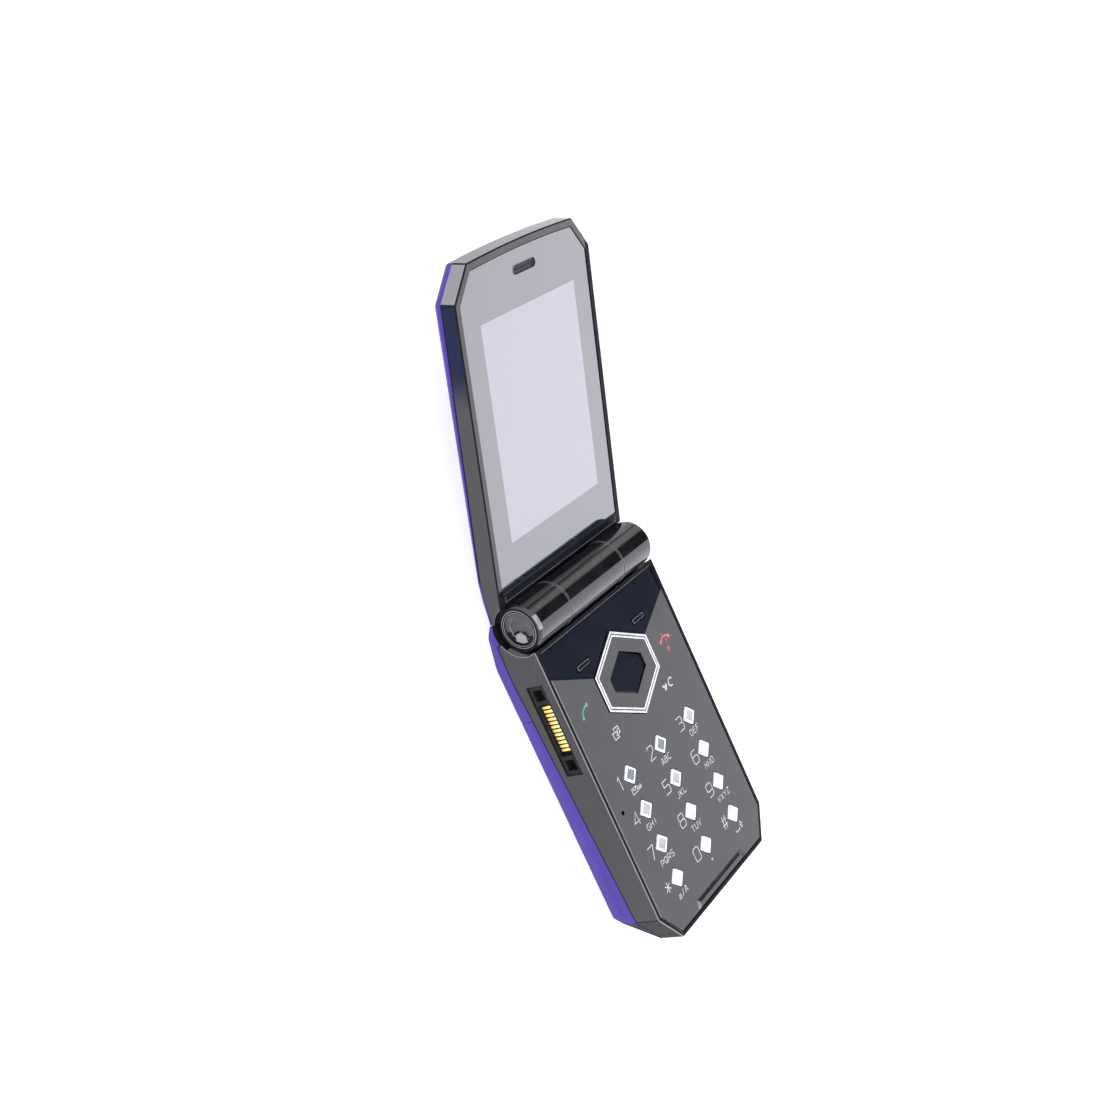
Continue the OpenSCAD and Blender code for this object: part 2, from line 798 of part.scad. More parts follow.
module ring_lug(side) {
    y0 = rocker_r1 + slip;
    difference() {
        block([-0.8, side > 0 ? y0 : -y0 - lug_t, nav_axis_z - lug_drop],
            [0.8, side > 0 ? y0 + lug_t : -y0, nav_flange_z0 + seat]);
        translate([0, 0, nav_axis_z])
            rotate([0, 0, 90])
                rod(pivot_r + seat, -plate_w / 2, plate_w / 2);
    }
}

// The ring under the navigation key: it turns about X in the plate, and the key about Y on it
module nav_rocker() {
    color(grey)
        translate([0, nav_y, nav_axis_z])
            union() {
                difference() {
                    translate([0, 0, -rocker_t / 2])
                        cylinder(r = rocker_r1, h = rocker_t);
                    translate([0, 0, -rocker_t])
                        cylinder(r = rocker_r0, h = 2 * rocker_t);
                }
                for (side = [0, 180]) {
                    rotate([0, 0, side])
                        rod(pivot_r, rocker_r1 - 0.1, lug_x0 + lug_t);
                    rotate([0, 0, side + 90])
                        rod(pivot_r, rocker_r1 - 0.1, rocker_r1 + slip + lug_t);
                }
            }
}

module select_key() {
    color(black)
        translate([0, nav_y, 0])
            union() {
                prism(hexagon(sel_half_w, sel_half_h, sel_side, 0), nav_flange_z0 + seat, base_t + key_proud / 2);
                prism(hexagon(sel_half_w, sel_half_h, sel_side, sel_flange), nav_flange_z0 + seat, nav_flange_z1);
                translate([0, 0, foot_z0])
                    cylinder(r = foot_r, h = nav_flange_z0 + 2 * seat - foot_z0);
            }
}

module side_key() {
    color(black)
        union() {
            block([wall_in - 0.6, side_y - side_half, side_z - side_half_h],
                [outer_hw + 0.35, side_y + side_half, side_z + side_half_h]);
            block([wall_in - 0.8, side_y - side_half - 0.8, board_z1 + slip / 2],
                [wall_in - seat, side_y + side_half + 0.8, plate_z0 - seat]);
        }
}

mat_y0 = key_at(11)[1] - 2.8;
mat_y1 = plate_y1 - 3.2;

module mat_plan() {
    difference() {
        translate([-mat_hw, mat_y0])
            square([2 * mat_hw, mat_y1 - mat_y0]);
        for (p = screw_xy)
            translate([p[0], p[1]])
                circle(r = boss_r + slip);
    }
}

module key_mat() {
    color(grey)
        difference() {
            union() {
                translate([0, 0, mat_z0])
                    linear_extrude(mat_t)
                        mat_plan();
                difference() {
                    translate([0, 0, sheet_z1])
                        linear_extrude(mat_z0 - sheet_z1 + seat)
                            mat_plan();
                    block([0.8 - mat_hw, mat_y0 + 0.8, 0], [mat_hw - 0.8, mat_y1 - 0.8, base_t]);
                }
            }
            translate([0, nav_y, 0])
                cylinder(r = lug_x0 + lug_t + slip, h = base_t);
            for (k = [0:11])
                translate(key_at(k))
                    cylinder(r = foot_r + 0.4, h = base_t);
            for (side = [-1, 1])
                translate([side * soft_x, plate_y1 - soft_back, 0])
                    cylinder(r = foot_r + 0.4, h = base_t);
        }
}

// Domes under the keys, the soft keys, the navigation key and the four printed keys
dome_xy = concat(
    [for (k = [0:11]) key_at(k)],
    [[soft_x, plate_y1 - soft_back], [-soft_x, plate_y1 - soft_back], [0, nav_y]],
    [for (a = [0:90:270]) [(skirt_r + 0.25) * cos(a), nav_y + (skirt_r + 0.25) * sin(a)]],
    [for (x = [-1, 1]) [x * (mat_hw - 2.34), nav_y - 2.2], for (x = [-1, 1]) [x * (mat_hw - 3.84), nav_y - 7.6]]);

module dome_sheet() {
    color(steel)
        union() {
            translate([0, 0, board_z1])
                linear_extrude(sheet_t)
                    mat_plan();
            for (p = dome_xy)
                translate([p[0], p[1], sheet_z1])
                    cylinder(r1 = dome_r, r2 = dome_r * 0.55, h = dome_h);
        }
}

module main_board() {
    color(green)
        difference() {
            intersection() {
                prism(base_outline(-plate_ledge - slip, plate_y1 - plate_ledge - slip), board_z0, board_z1);
                block([-outer_hw, board_y0, 0], [outer_hw, plate_y1, base_t]);
            }
            screw_holes(screw_r + seat, board_z0 - 1, board_z1 + 1);
            block([-outer_hw - 1, port_y0 - slip, 0], [-port_end + slip, port_y1 + slip, base_t]);
        }
}

board_front = 3;
board_y0 = plate_y0 + board_front;
antenna_hw = plate_w / 2 - front_cut_x - 1.85;
shelf_z = floor_z1 + 0.6;

module shield_can(low, high) {
    difference() {
        block(low, high);
        block(low + [0.2, 0.2, 0.2], high + [-0.2, -0.2, 1]);
    }
}

module shield_cans() {
    color(steel)
        union() {
            shield_can([-can_hw, bay_y0 + can_in, floor_z1 + seat], [can_hw, bay_mid - can_in / 2, board_z0]);
            shield_can([can_in - can_hw, bay_mid + can_in / 2, floor_z1 + seat],
                [can_hw, bay_y1 - can_in / 2, board_z0]);
        }
}

can_in = 2.5;
can_hw = wall_in - 6;

module battery() {
    color(grey)
        difference() {
            block([-battery_w / 2, bay_y0 + slip, battery_z0], [battery_w / 2, bay_y1 - contact_l - slip, battery_z1]);
            block([-contact_w / 2, bay_y1 - contact_l - slip - 0.3, battery_z1 - 2.4],
                [contact_w / 2, bay_y1, battery_z1 - 1]);
        }
}

contact_l = 1.8;
contact_w = 9;

module battery_contacts() {
    color(gold)
        union() {
            block([-contact_w / 2, bay_y1 - contact_l, battery_z1 - 3], [contact_w / 2, bay_y1, floor_z0]);
            for (x = [-2.8, 0, 2.8])
                block([x - 0.6, bay_y1 - contact_l - slip - 0.2, battery_z1 - 2.2],
                    [x + 0.6, bay_y1 - contact_l + seat, battery_z1 - 1.2]);
        }
}

module sim_holder() {
    color(steel)
        difference() {
            block([-card_hw, bay_mid - card_half, battery_z1 + seat], [card_hw, bay_mid + card_half, floor_z0]);
            block([card_wall - card_hw, bay_mid - card_half - card_wall, battery_z1],
                [card_hw - card_wall, bay_mid + card_half - card_wall, floor_z0 - 0.25]);
        }
}

// The card holder's half width, half length and wall
card_hw = 8;
card_half = 8;
card_wall = 1.5;

module connector_housing() {
    color(black)
        difference() {
            block([-port_in, port_y0, port_z0], [-port_end, port_y1, port_z1]);
            block([-port_in - 1, port_mid - pin_row / 2 - 0.5, port_z0 + 0.45],
                [-port_in + 1.2, port_mid + pin_row / 2 + 0.5, port_z1 - 0.45]);
            for (end = [port_y0 + 1.9, port_y1 - 1.9])
                block([-port_in - 1, end - 1.1, port_z0 + 0.7], [-port_in + 1.8, end + 1.1, port_z1 - 0.7]);
        }
}

module connector_pins() {
    color(gold)
        for (i = [0:pin_count - 1])
            translate([0, port_mid + (i - (pin_count - 1) / 2) * pin_pitch, 0])
                block([-port_in + 0.8, -pin_pitch * 0.3, port_z0 + 0.45],
                    [-port_in + 1.2, pin_pitch * 0.3, port_z1 - 0.45]);
}

module microphone() {
    color(steel)
        translate([mic_x, mic_y, board_z1])
            cylinder(r = 1.4, h = board_gap - seat);
}

module antenna() {
    color(gold)
        difference() {
            block([-antenna_hw, plate_y0 + plate_ledge + slip, shelf_z], [antenna_hw, board_y0 - slip, board_z1]);
            block([1 - antenna_hw, plate_y0 + plate_ledge + 0.8, shelf_z + 0.5], [antenna_hw - 1, board_y0 + 1, base_t]);
        }
}

module screw(r, head_r, head_h, z0, z1) {
    translate([0, 0, z0])
        difference() {
            union() {
                cylinder(r = head_r, h = head_h);
                cylinder(r = r, h = z1 - z0);
            }
            translate([0, 0, -seat])
                cylinder(r = r * 0.7, h = head_h * 0.6 + seat, $fn = 6);
        }
}

module base_screws() {
    color(steel)
        for (p = screw_xy)
            translate([p[0], p[1], 0])
                screw(screw_r, screw_head_r, 0.6, screw_z0 - 0.6, screw_z1);
}

// Hinge pieces that stay with the base
module hinge_bush() {
    color(white)
        at_axis()
            pipe(knuckle_bore, tube_r + run_gap, -knuckle_half, case_x0 - seat);
}

module hinge_case() {
    color(steel)
        at_axis()
            difference() {
                rod(knuckle_bore, case_x0, knuckle_half);
                rod(knuckle_bore - case_wall, case_x0 + 0.6, knuckle_half + 1);
            }
}

// Spring, follower and cam share the case: the cam sits at its mouth
cam_l = 2;
cam_x1 = knuckle_half - 0.3;
cam_x0 = cam_x1 - cam_l;
follower_x0 = cam_x0 - cam_l;
spring_x0 = case_x0 + 0.7;
wire_r = 0.3;

module hinge_follower() {
    color(steel)
        at_axis()
            pipe(knuckle_bore - case_wall, shaft_tip_r + run_gap, follower_x0, cam_x0 - seat);
}

module hinge_spring() {
    color(steel)
        at_axis()
            for (i = [0:6])
                translate([spring_x0 + wire_r + i * (follower_x0 - spring_x0 - 2 * wire_r) / 6, 0, 0])
                    rotate([0, 90, 0])
                        rotate_extrude()
                            translate([(shaft_tip_r + knuckle_bore - case_wall) / 2, 0])
                                circle(r = wire_r, $fn = 16);
}

module hinge_flex() {
    color(gold)
        at_axis()
            pipe(tube_r - 0.8, tube_r - 1, -cap_x + 0.5, case_x0 - seat);
}

// Lid: frame, cover and glass
function lid_side_profile() =
    [[lid_s0, face_n], [lid_len + 1, face_n], [lid_len + 1, band_n], [lid_taper, seam_n], [lid_s0, tail_n]];

function lid_back_profile() =
    [[lid_s0, tail_n], [lid_taper, seam_n], [lid_len + 1, band_n], [lid_len + 1, crown_n - 1],
     [crown_s0 + 2, crown_n - 1], [lid_taper, edge_n], [lid_s0, tail_n - 0.25]];

module knuckle_end(side) {
    rounding = 0.7;
    mirror([side > 0 ? 0 : 1, 0, 0])
        translate([knuckle_in, 0, 0])
            rotate([0, 90, 0])
                rotate_extrude()
                    polygon(concat([[0, 0], [barrel_r, 0]],
                        [for (a = [0:22.5:90]) [barrel_r - rounding * (1 - cos(a)),
                            barrel_half - knuckle_in - rounding * (1 - sin(a))]],
                        [[0, barrel_half - knuckle_in]]));
}

module lid_frame() {
    color(black)
        on_lid()
            difference() {
                union() {
                    difference() {
                        union() {
                            intersection() {
                                prism(lid_outline(0, lid_s0), seam_n - 1, face_n);
                                across(lid_side_profile(), -lid_w, lid_w);
                            }
                            for (side = [-1, 1])
                                knuckle_end(side);
                        }
                        prism(lid_outline(glass_in - lip_w, glass_start), glass_n0, face_n + 1);
                        prism(lid_outline(-lid_side, lid_taper + 0.2), seam_n - 1, ledge_n0);
                        block([-panel_hw - slip, panel_s0 - slip, band_n], [panel_hw + slip, panel_s1 + slip, face_n]);
                    }
                    for (p = lid_screw_xy)
                        translate([p[0], p[1], band_n])
                            cylinder(r = lid_boss_r, h = ledge_n0 - band_n + seat);
                }
                rod(cut_r, -knuckle_in, knuckle_in);
                block([-knuckle_in, -cut_r, -3 * barrel_r], [knuckle_in, cut_r * 0.28, 0]);
                for (side = [-1, 1]) {
                    mirror([side > 0 ? 0 : 1, 0, 0]) {
                        rod(barrel_r, barrel_half, lid_w);
                        rod(cap_r + seat, cap_x, barrel_half + 1);
                    }
                }
                rod(tube_r, -barrel_half, -knuckle_in + 1);
                rod(shaft_r, knuckle_in - 1, barrel_half);
                for (p = lid_screw_xy)
                    translate([p[0], p[1], band_n - 1]) {
                        cylinder(r = lid_screw_r + seat, h = band_t + 1);
                        translate([0, 0, glass_n0 - band_n + 1 - 0.5])
                            cylinder(r = 0.95, h = 1);
                    }
                translate([0, ear_s, 0])
                    slot(ear_l, ear_w, ledge_n0 - 1, face_n);
            }
}

// The faceted back: an elongated hexagon crown falls away to the lid's cut-cornered edge
module crown_shape(shrink, n0, n1) {
    prism([[0, crown_s1 - shrink], [-crown_hw + shrink, crown_mid1], [-crown_hw + shrink, crown_mid0],
        [0, crown_s0 + shrink], [crown_hw - shrink, crown_mid0], [crown_hw - shrink, crown_mid1]], n0, n1);
}

module cover_outer() {
    hull() {
        prism(lid_outline(0, lid_s0), seam_n, tail_n);
        prism(lid_outline(-0.35, lid_s0), edge_n, edge_n + 0.1);
        crown_shape(0, crown_n, crown_n + 0.1);
    }
}

module lid_cover() {
    color(violet)
        on_lid()
            difference() {
                union() {
                    difference() {
                        intersection() {
                            cover_outer();
                            across(lid_back_profile(), -lid_w, lid_w);
                        }
                        hull() {
                            prism(lid_outline(-0.35 - lid_wall, lid_taper + 1.5), edge_n + 0.3, tail_n);
                            crown_shape(0.5, crown_n + lid_wall, crown_n + lid_wall + 0.1);
                        }
                    }
                    intersection() {
                        cover_outer();
                        union() {
                            for (p = lid_screw_xy)
                                translate([p[0], p[1], crown_n])
                                    cylinder(r = lid_boss_r, h = band_n - crown_n);
                        }
                        union() {
                            across(lid_back_profile(), -lid_w, lid_w);
                            prism(lid_outline(-lid_side - seat, lid_taper), crown_n, band_n);
                        }
                    }
                }
                for (p = lid_screw_xy)
                    translate([p[0], p[1], band_n - 0.9])
                        cylinder(r = lid_screw_r + run_gap / 2, h = 2);
                translate([-clock_w / 2, clock_s - clock_h / 2, crown_n - 1])
                    cube([clock_w, clock_h, crown_t + 1]);
                block([-knuckle_in, -cut_r, -3 * barrel_r], [knuckle_in, cut_r * 0.28, 0]);
            }
}

module lid_glass() {
    color(grey)
        on_lid()
            difference() {
                prism(lid_outline(glass_in - lip_w - seat, glass_start + seat), glass_n0, glass_n1);
                translate([0, ear_s, 0])
                    slot(ear_l, ear_w, glass_n0 - 1, face_n);
            }
}

module display_panel() {
    color([0.75, 0.75, 0.8])
        on_lid()
            block([-panel_hw, panel_s0, panel_n0], [panel_hw, panel_s1, panel_n1]);
}

module display_bracket() {
    color(steel)
        on_lid()
            difference() {
                block([-panel_hw - bracket_out, panel_s0 - bracket_out, bracket_n0],
                    [panel_hw + bracket_out, panel_s1 + bracket_out, ledge_n0]);
                block([-panel_hw - slip, panel_s0 - slip, bracket_n0 + sheet_metal],
                    [panel_hw + slip, panel_s1 + slip, face_n]);
            }
}

module lid_board() {
    color(green)
        on_lid()
            block([lid_board_in - panel_hw, panel_s0 + lid_board_in, lid_board_n0],
                [panel_hw - lid_board_in, panel_s1 - lid_board_in, bracket_n0 - seat]);
}

lid_board_in = 3.4;

module clock_display() {
    color(grey)
        on_lid()
            block([-clock_w / 2 - 1, clock_s - clock_h / 2 - 1, crown_n + lid_wall + seat],
                [clock_w / 2 + 1, clock_s + clock_h / 2 + 1, lid_board_n0]);
}

module clock_window() {
    color(black)
        on_lid()
            block([-clock_w / 2 + seat, clock_s - clock_h / 2 + seat, crown_n + 0.05],
                [clock_w / 2 - seat, clock_s + clock_h / 2 - seat, crown_n + lid_wall]);
}

module earpiece_speaker() {
    color(steel)
        on_lid()
            translate([0, ear_s, 0])
                slot(ear_l + 2.4, ear_w + 2, ledge_n0 - 1.4, ledge_n0);
}

module earpiece_mesh() {
    color(grey)
        on_lid()
            translate([0, ear_s, 0])
                difference() {
                    slot(ear_l - 2 * seat, ear_w - 2 * seat, ledge_n0, glass_n1 - 0.25);
                    for (i = [-4:4])
                        translate([i * (ear_l - ear_w) / 8, 0, ledge_n0 - 1])
                            cylinder(r = 0.2, h = 3);
                }
}

module lid_screws() {
    color(steel)
        on_lid()
            for (p = lid_screw_xy)
                translate([p[0], p[1], glass_n0 - seat])
                    mirror([0, 0, 1])
                        screw(lid_screw_r, 0.9, 0.4, 0, glass_n0 - band_n + 0.8);
}

// Hinge pieces that turn with the lid
module hinge_cap_left() {
    color(grey)
        on_lid()
            translate([-barrel_half + 0.1, 0, 0])
                rotate([0, 90, 0])
                    rotate_extrude()
                        polygon([[0, 1], [0.7, 1], [cap_r - 0.75, 0.35], [cap_r - 0.75, 0], [cap_r, 0],
                            [cap_r, cap_t - 0.1], [0, cap_t - 0.1]]);
}

module hinge_cap_right() {
    color(black)
        on_lid()
            translate([barrel_half - 0.1, 0, 0])
                rotate([0, -90, 0])
                    rotate_extrude()
                        polygon([[0, 0], [cap_r - 0.4, 0], [cap_r, 0.4], [cap_r, cap_t - 0.1], [0, cap_t - 0.1]]);
}

module hinge_tube() {
    color(steel)
        on_lid()
            pipe(tube_r, tube_r - 0.5, -cap_x + 0.2, case_x0 - 0.3);
}

module hinge_shaft() {
    color(steel)
        on_lid()
            union() {
                rod(shaft_r, knuckle_in, cap_x - 0.2);
                rod(shaft_tip_r, spring_x0 + 0.3, knuckle_in);
            }
}

module hinge_cam() {
    color(steel)
        on_lid()
            pipe(knuckle_bore - case_wall - 2 * run_gap, shaft_tip_r, cam_x0, cam_x1);
}

base_frame();
battery_cover();
rear_cap();
keypad_plate();
key_mat();
dome_sheet();
main_board();
shield_cans();
battery();
battery_contacts();
sim_holder();
connector_housing();
connector_pins();
microphone();
loudspeaker();
vibration_motor();
camera_module();
camera_window();
antenna();
base_screws();
hinge_bush();
hinge_case();
hinge_follower();
hinge_spring();
hinge_flex();
lid_frame();
lid_cover();
lid_glass();
display_panel();
display_bracket();
lid_board();
earpiece_speaker();
earpiece_mesh();
clock_window();
clock_display();
lid_screws();
hinge_cap_left();
hinge_cap_right();
hinge_tube();
hinge_shaft();
hinge_cam();
for (k = [0:11])
    key_pip(k);
select_key();
soft_key(-1);  // soft_key_left
soft_key(1);  // soft_key_right
nav_ring();
nav_rocker();
side_key();
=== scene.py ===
import json
import math
import bmesh
import bpy
from mathutils import Matrix, Vector


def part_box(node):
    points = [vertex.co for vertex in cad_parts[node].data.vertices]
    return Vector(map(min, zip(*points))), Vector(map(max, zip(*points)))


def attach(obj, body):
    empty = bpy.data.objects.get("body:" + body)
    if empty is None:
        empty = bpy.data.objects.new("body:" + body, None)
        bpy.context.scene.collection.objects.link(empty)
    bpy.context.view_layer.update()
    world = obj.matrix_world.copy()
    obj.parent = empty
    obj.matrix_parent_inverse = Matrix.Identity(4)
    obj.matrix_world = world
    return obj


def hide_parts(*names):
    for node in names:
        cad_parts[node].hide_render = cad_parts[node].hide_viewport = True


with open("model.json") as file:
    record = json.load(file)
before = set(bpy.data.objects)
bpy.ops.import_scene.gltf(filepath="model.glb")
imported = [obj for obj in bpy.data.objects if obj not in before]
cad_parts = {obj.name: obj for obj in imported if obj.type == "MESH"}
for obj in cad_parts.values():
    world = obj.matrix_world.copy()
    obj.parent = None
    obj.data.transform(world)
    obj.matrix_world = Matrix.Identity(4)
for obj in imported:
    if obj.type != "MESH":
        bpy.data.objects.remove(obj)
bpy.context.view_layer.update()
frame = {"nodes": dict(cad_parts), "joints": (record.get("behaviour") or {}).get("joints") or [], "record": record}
nodes = frame["nodes"]
mm = 0.001
print("flip phone: frame loaded with", len(nodes), "nodes")

# where the lid lies: x across, s out from the hinge, n up out of the screen
hinge = [joint for joint in frame["joints"] if joint["name"] == "lid_hinge"][0]
hingeSpot = Vector(hinge["pos_m"]) / mm
lidOpen = 20.5  # degrees above flat
lidPlace = Matrix.Translation(hinge["pos_m"]) @ Matrix.Rotation(math.radians(lidOpen), 4, "X")
basePlace = Matrix.Identity(4)
plateTop = 11.6

# camera at the photograph's viewing angle
shot = {"spot": (-225.608, 96.168, 197.341), "turn": (18.72096, -47.82455, -37.53204), "lens": 51.065, "sensor": 36,
        "nearest": 10}
photoCamera = bpy.data.cameras.new("photoCamera")
photoCamera.lens = shot["lens"]
photoCamera.sensor_width = shot["sensor"]
photoCamera.clip_start = shot["nearest"] * mm
cameraObject = bpy.data.objects.new("photoCamera", photoCamera)
cameraObject.location = Vector(shot["spot"]) * mm
cameraObject.rotation_euler = [math.radians(angle) for angle in shot["turn"]]
bpy.context.collection.objects.link(cameraObject)
bpy.context.scene.camera = cameraObject
bpy.context.scene.view_settings.view_transform = "Standard"


def middle(nodeName):
    low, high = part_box(nodeName)
    return (low + high) / (2 * mm)


def addNode(tree, kind, values=None, **settings):
    made = tree.nodes.new(kind)
    for key, value in settings.items():
        setattr(made, key, value)
    for key, value in (values or {}).items():
        if isinstance(value, bpy.types.NodeSocket):
            tree.links.new(value, made.inputs[key])
        else:
            made.inputs[key].default_value = value
    return made


def ramp(tree, value, start, end, low=0.0, high=1.0):
    made = addNode(tree, "ShaderNodeMapRange", {"Value": value, "From Min": start, "From Max": end,
                                                "To Min": low, "To Max": high}, interpolation_type="SMOOTHSTEP")
    return made.outputs["Result"]


def times(tree, first, second, operation="MULTIPLY"):
    return addNode(tree, "ShaderNodeMath", {0: first, 1: second}, operation=operation).outputs["Value"]


def blendColour(tree, factor, first, second):
    made = addNode(tree, "ShaderNodeMix", data_type="RGBA")
    for index, value in ((0, factor), (6, first), (7, second)):
        if isinstance(value, bpy.types.NodeSocket):
            tree.links.new(value, made.inputs[index])
        else:
            made.inputs[index].default_value = value if index == 0 else (*value, 1)
    return made.outputs[2]


def noise(tree, spot, scale, detail, warp=0.0):
    return addNode(tree, "ShaderNodeTexNoise", {"Vector": spot, "Scale": scale, "Detail": detail,
                                                "Distortion": warp}).outputs["Fac"]


def objectSpot(tree):
    return addNode(tree, "ShaderNodeTexCoord").outputs["Object"]


def lidSpot(tree):
    turned = addNode(tree, "ShaderNodeMapping", {"Vector": objectSpot(tree), "Location": hinge["pos_m"],
                                                 "Rotation": (math.radians(lidOpen), 0, 0)}, vector_type="TEXTURE")
    return addNode(tree, "ShaderNodeSeparateXYZ", {0: turned.outputs[0]})


# white studio with one black flag on the right, which the barrel and the sloping facet mirror
studio = {"level": 2.4, "tint": (0.985, 0.98, 1.04), "flagStart": -0.215, "flagEnd": 0.37, "stripEnd": 0.6,
          "soft": 0.02, "stripSoft": 0.06, "side": (0.4, 0.5), "horizon": (0.02, 0.08), "flagTone": (0.02, 0.02, 0.02),
          "stripTone": (0.76, 0.7, 0.68), "lowTone": (0.05, 0.05, 0.05)}
world = bpy.data.worlds.new("studio")
bpy.context.scene.world = world
world.use_nodes = True
sky = world.node_tree
sky.nodes.clear()
aim = addNode(sky, "ShaderNodeSeparateXYZ", {0: addNode(sky, "ShaderNodeTexCoord").outputs["Generated"]})
sideFlag = times(sky, ramp(sky, aim.outputs["X"], *studio["side"]), ramp(sky, aim.outputs["Z"], *studio["horizon"]))
tone = studio["tint"]
for edge, soft, beyond in (("flagStart", "soft", "flagTone"), ("flagEnd", "stripSoft", "stripTone"),
                           ("stripEnd", "stripSoft", "lowTone")):
    tone = blendColour(sky, ramp(sky, aim.outputs["Y"], studio[edge] - studio[soft], studio[edge] + studio[soft]),
                       tone, studio[beyond])
tone = blendColour(sky, sideFlag, studio["tint"], tone)
glow = addNode(sky, "ShaderNodeBackground", {"Color": tone, "Strength": studio["level"]})
plain = addNode(sky, "ShaderNodeBackground", {"Color": (1, 1, 1, 1), "Strength": 1.0})
seen = addNode(sky, "ShaderNodeLightPath").outputs["Is Camera Ray"]
sheet = addNode(sky, "ShaderNodeMixShader", {0: seen, 1: glow.outputs[0], 2: plain.outputs[0]})
addNode(sky, "ShaderNodeOutputWorld", {"Surface": sheet.outputs[0]})

# noise spans of the layers in every finish; the hair scratches run slantwise
paintSet = {"cloud": (0.3, 0.7), "smear": (0.35, 0.7), "warp": 0.6, "hair": (0.72, 0.8), "hairStretch": (30, 1800, 400),
            "hairTurn": 34, "hairColour": (0.3, 0.3, 0.32), "bump": 0.01}


def newFinish(name):
    finish = bpy.data.materials.new(name)
    finish.use_nodes = True
    return finish, finish.node_tree, finish.node_tree.nodes["Principled BSDF"]


def paint(name, look):
    finish, tree, shader = newFinish(name)
    spot = objectSpot(tree)
    stretched = addNode(tree, "ShaderNodeMapping", {"Vector": spot, "Scale": look.get("stretch", (1, 1, 1))}).outputs[0]
    cloud = noise(tree, stretched, look["cloud"], 3.0)
    base = blendColour(tree, ramp(tree, cloud, *paintSet["cloud"]), look["colour"], look["tint"])
    smear = noise(tree, stretched, look["smear"], 4.0, paintSet["warp"])
    rough = ramp(tree, smear, *paintSet["smear"], *look["rough"])
    if look.get("scratch"):
        swept = addNode(tree, "ShaderNodeMapping", {"Vector": spot, "Scale": paintSet["hairStretch"], "Rotation":
                                                    (0, 0, math.radians(paintSet["hairTurn"]))}).outputs[0]
        marks = ramp(tree, noise(tree, swept, 1.0, 2.0), *paintSet["hair"], 0.0, look["scratch"])
        base = blendColour(tree, marks, base, paintSet["hairColour"])
        rough = times(tree, rough, marks, "ADD")
    tree.links.new(base, shader.inputs["Base Color"])
    tree.links.new(rough, shader.inputs["Roughness"])
    bump = addNode(tree, "ShaderNodeBump", {"Height": noise(tree, stretched, look["grain"], 2.0),
                                            "Strength": look["depth"], "Distance": paintSet["bump"] * mm})
    tree.links.new(bump.outputs[0], shader.inputs["Normal"])
    for socket in ("Metallic", "IOR", "Coat Weight", "Specular IOR Level"):
        if socket in look:
            shader.inputs[socket].default_value = look[socket]
    finish.diffuse_color = (*look["colour"], 1)
    return finish


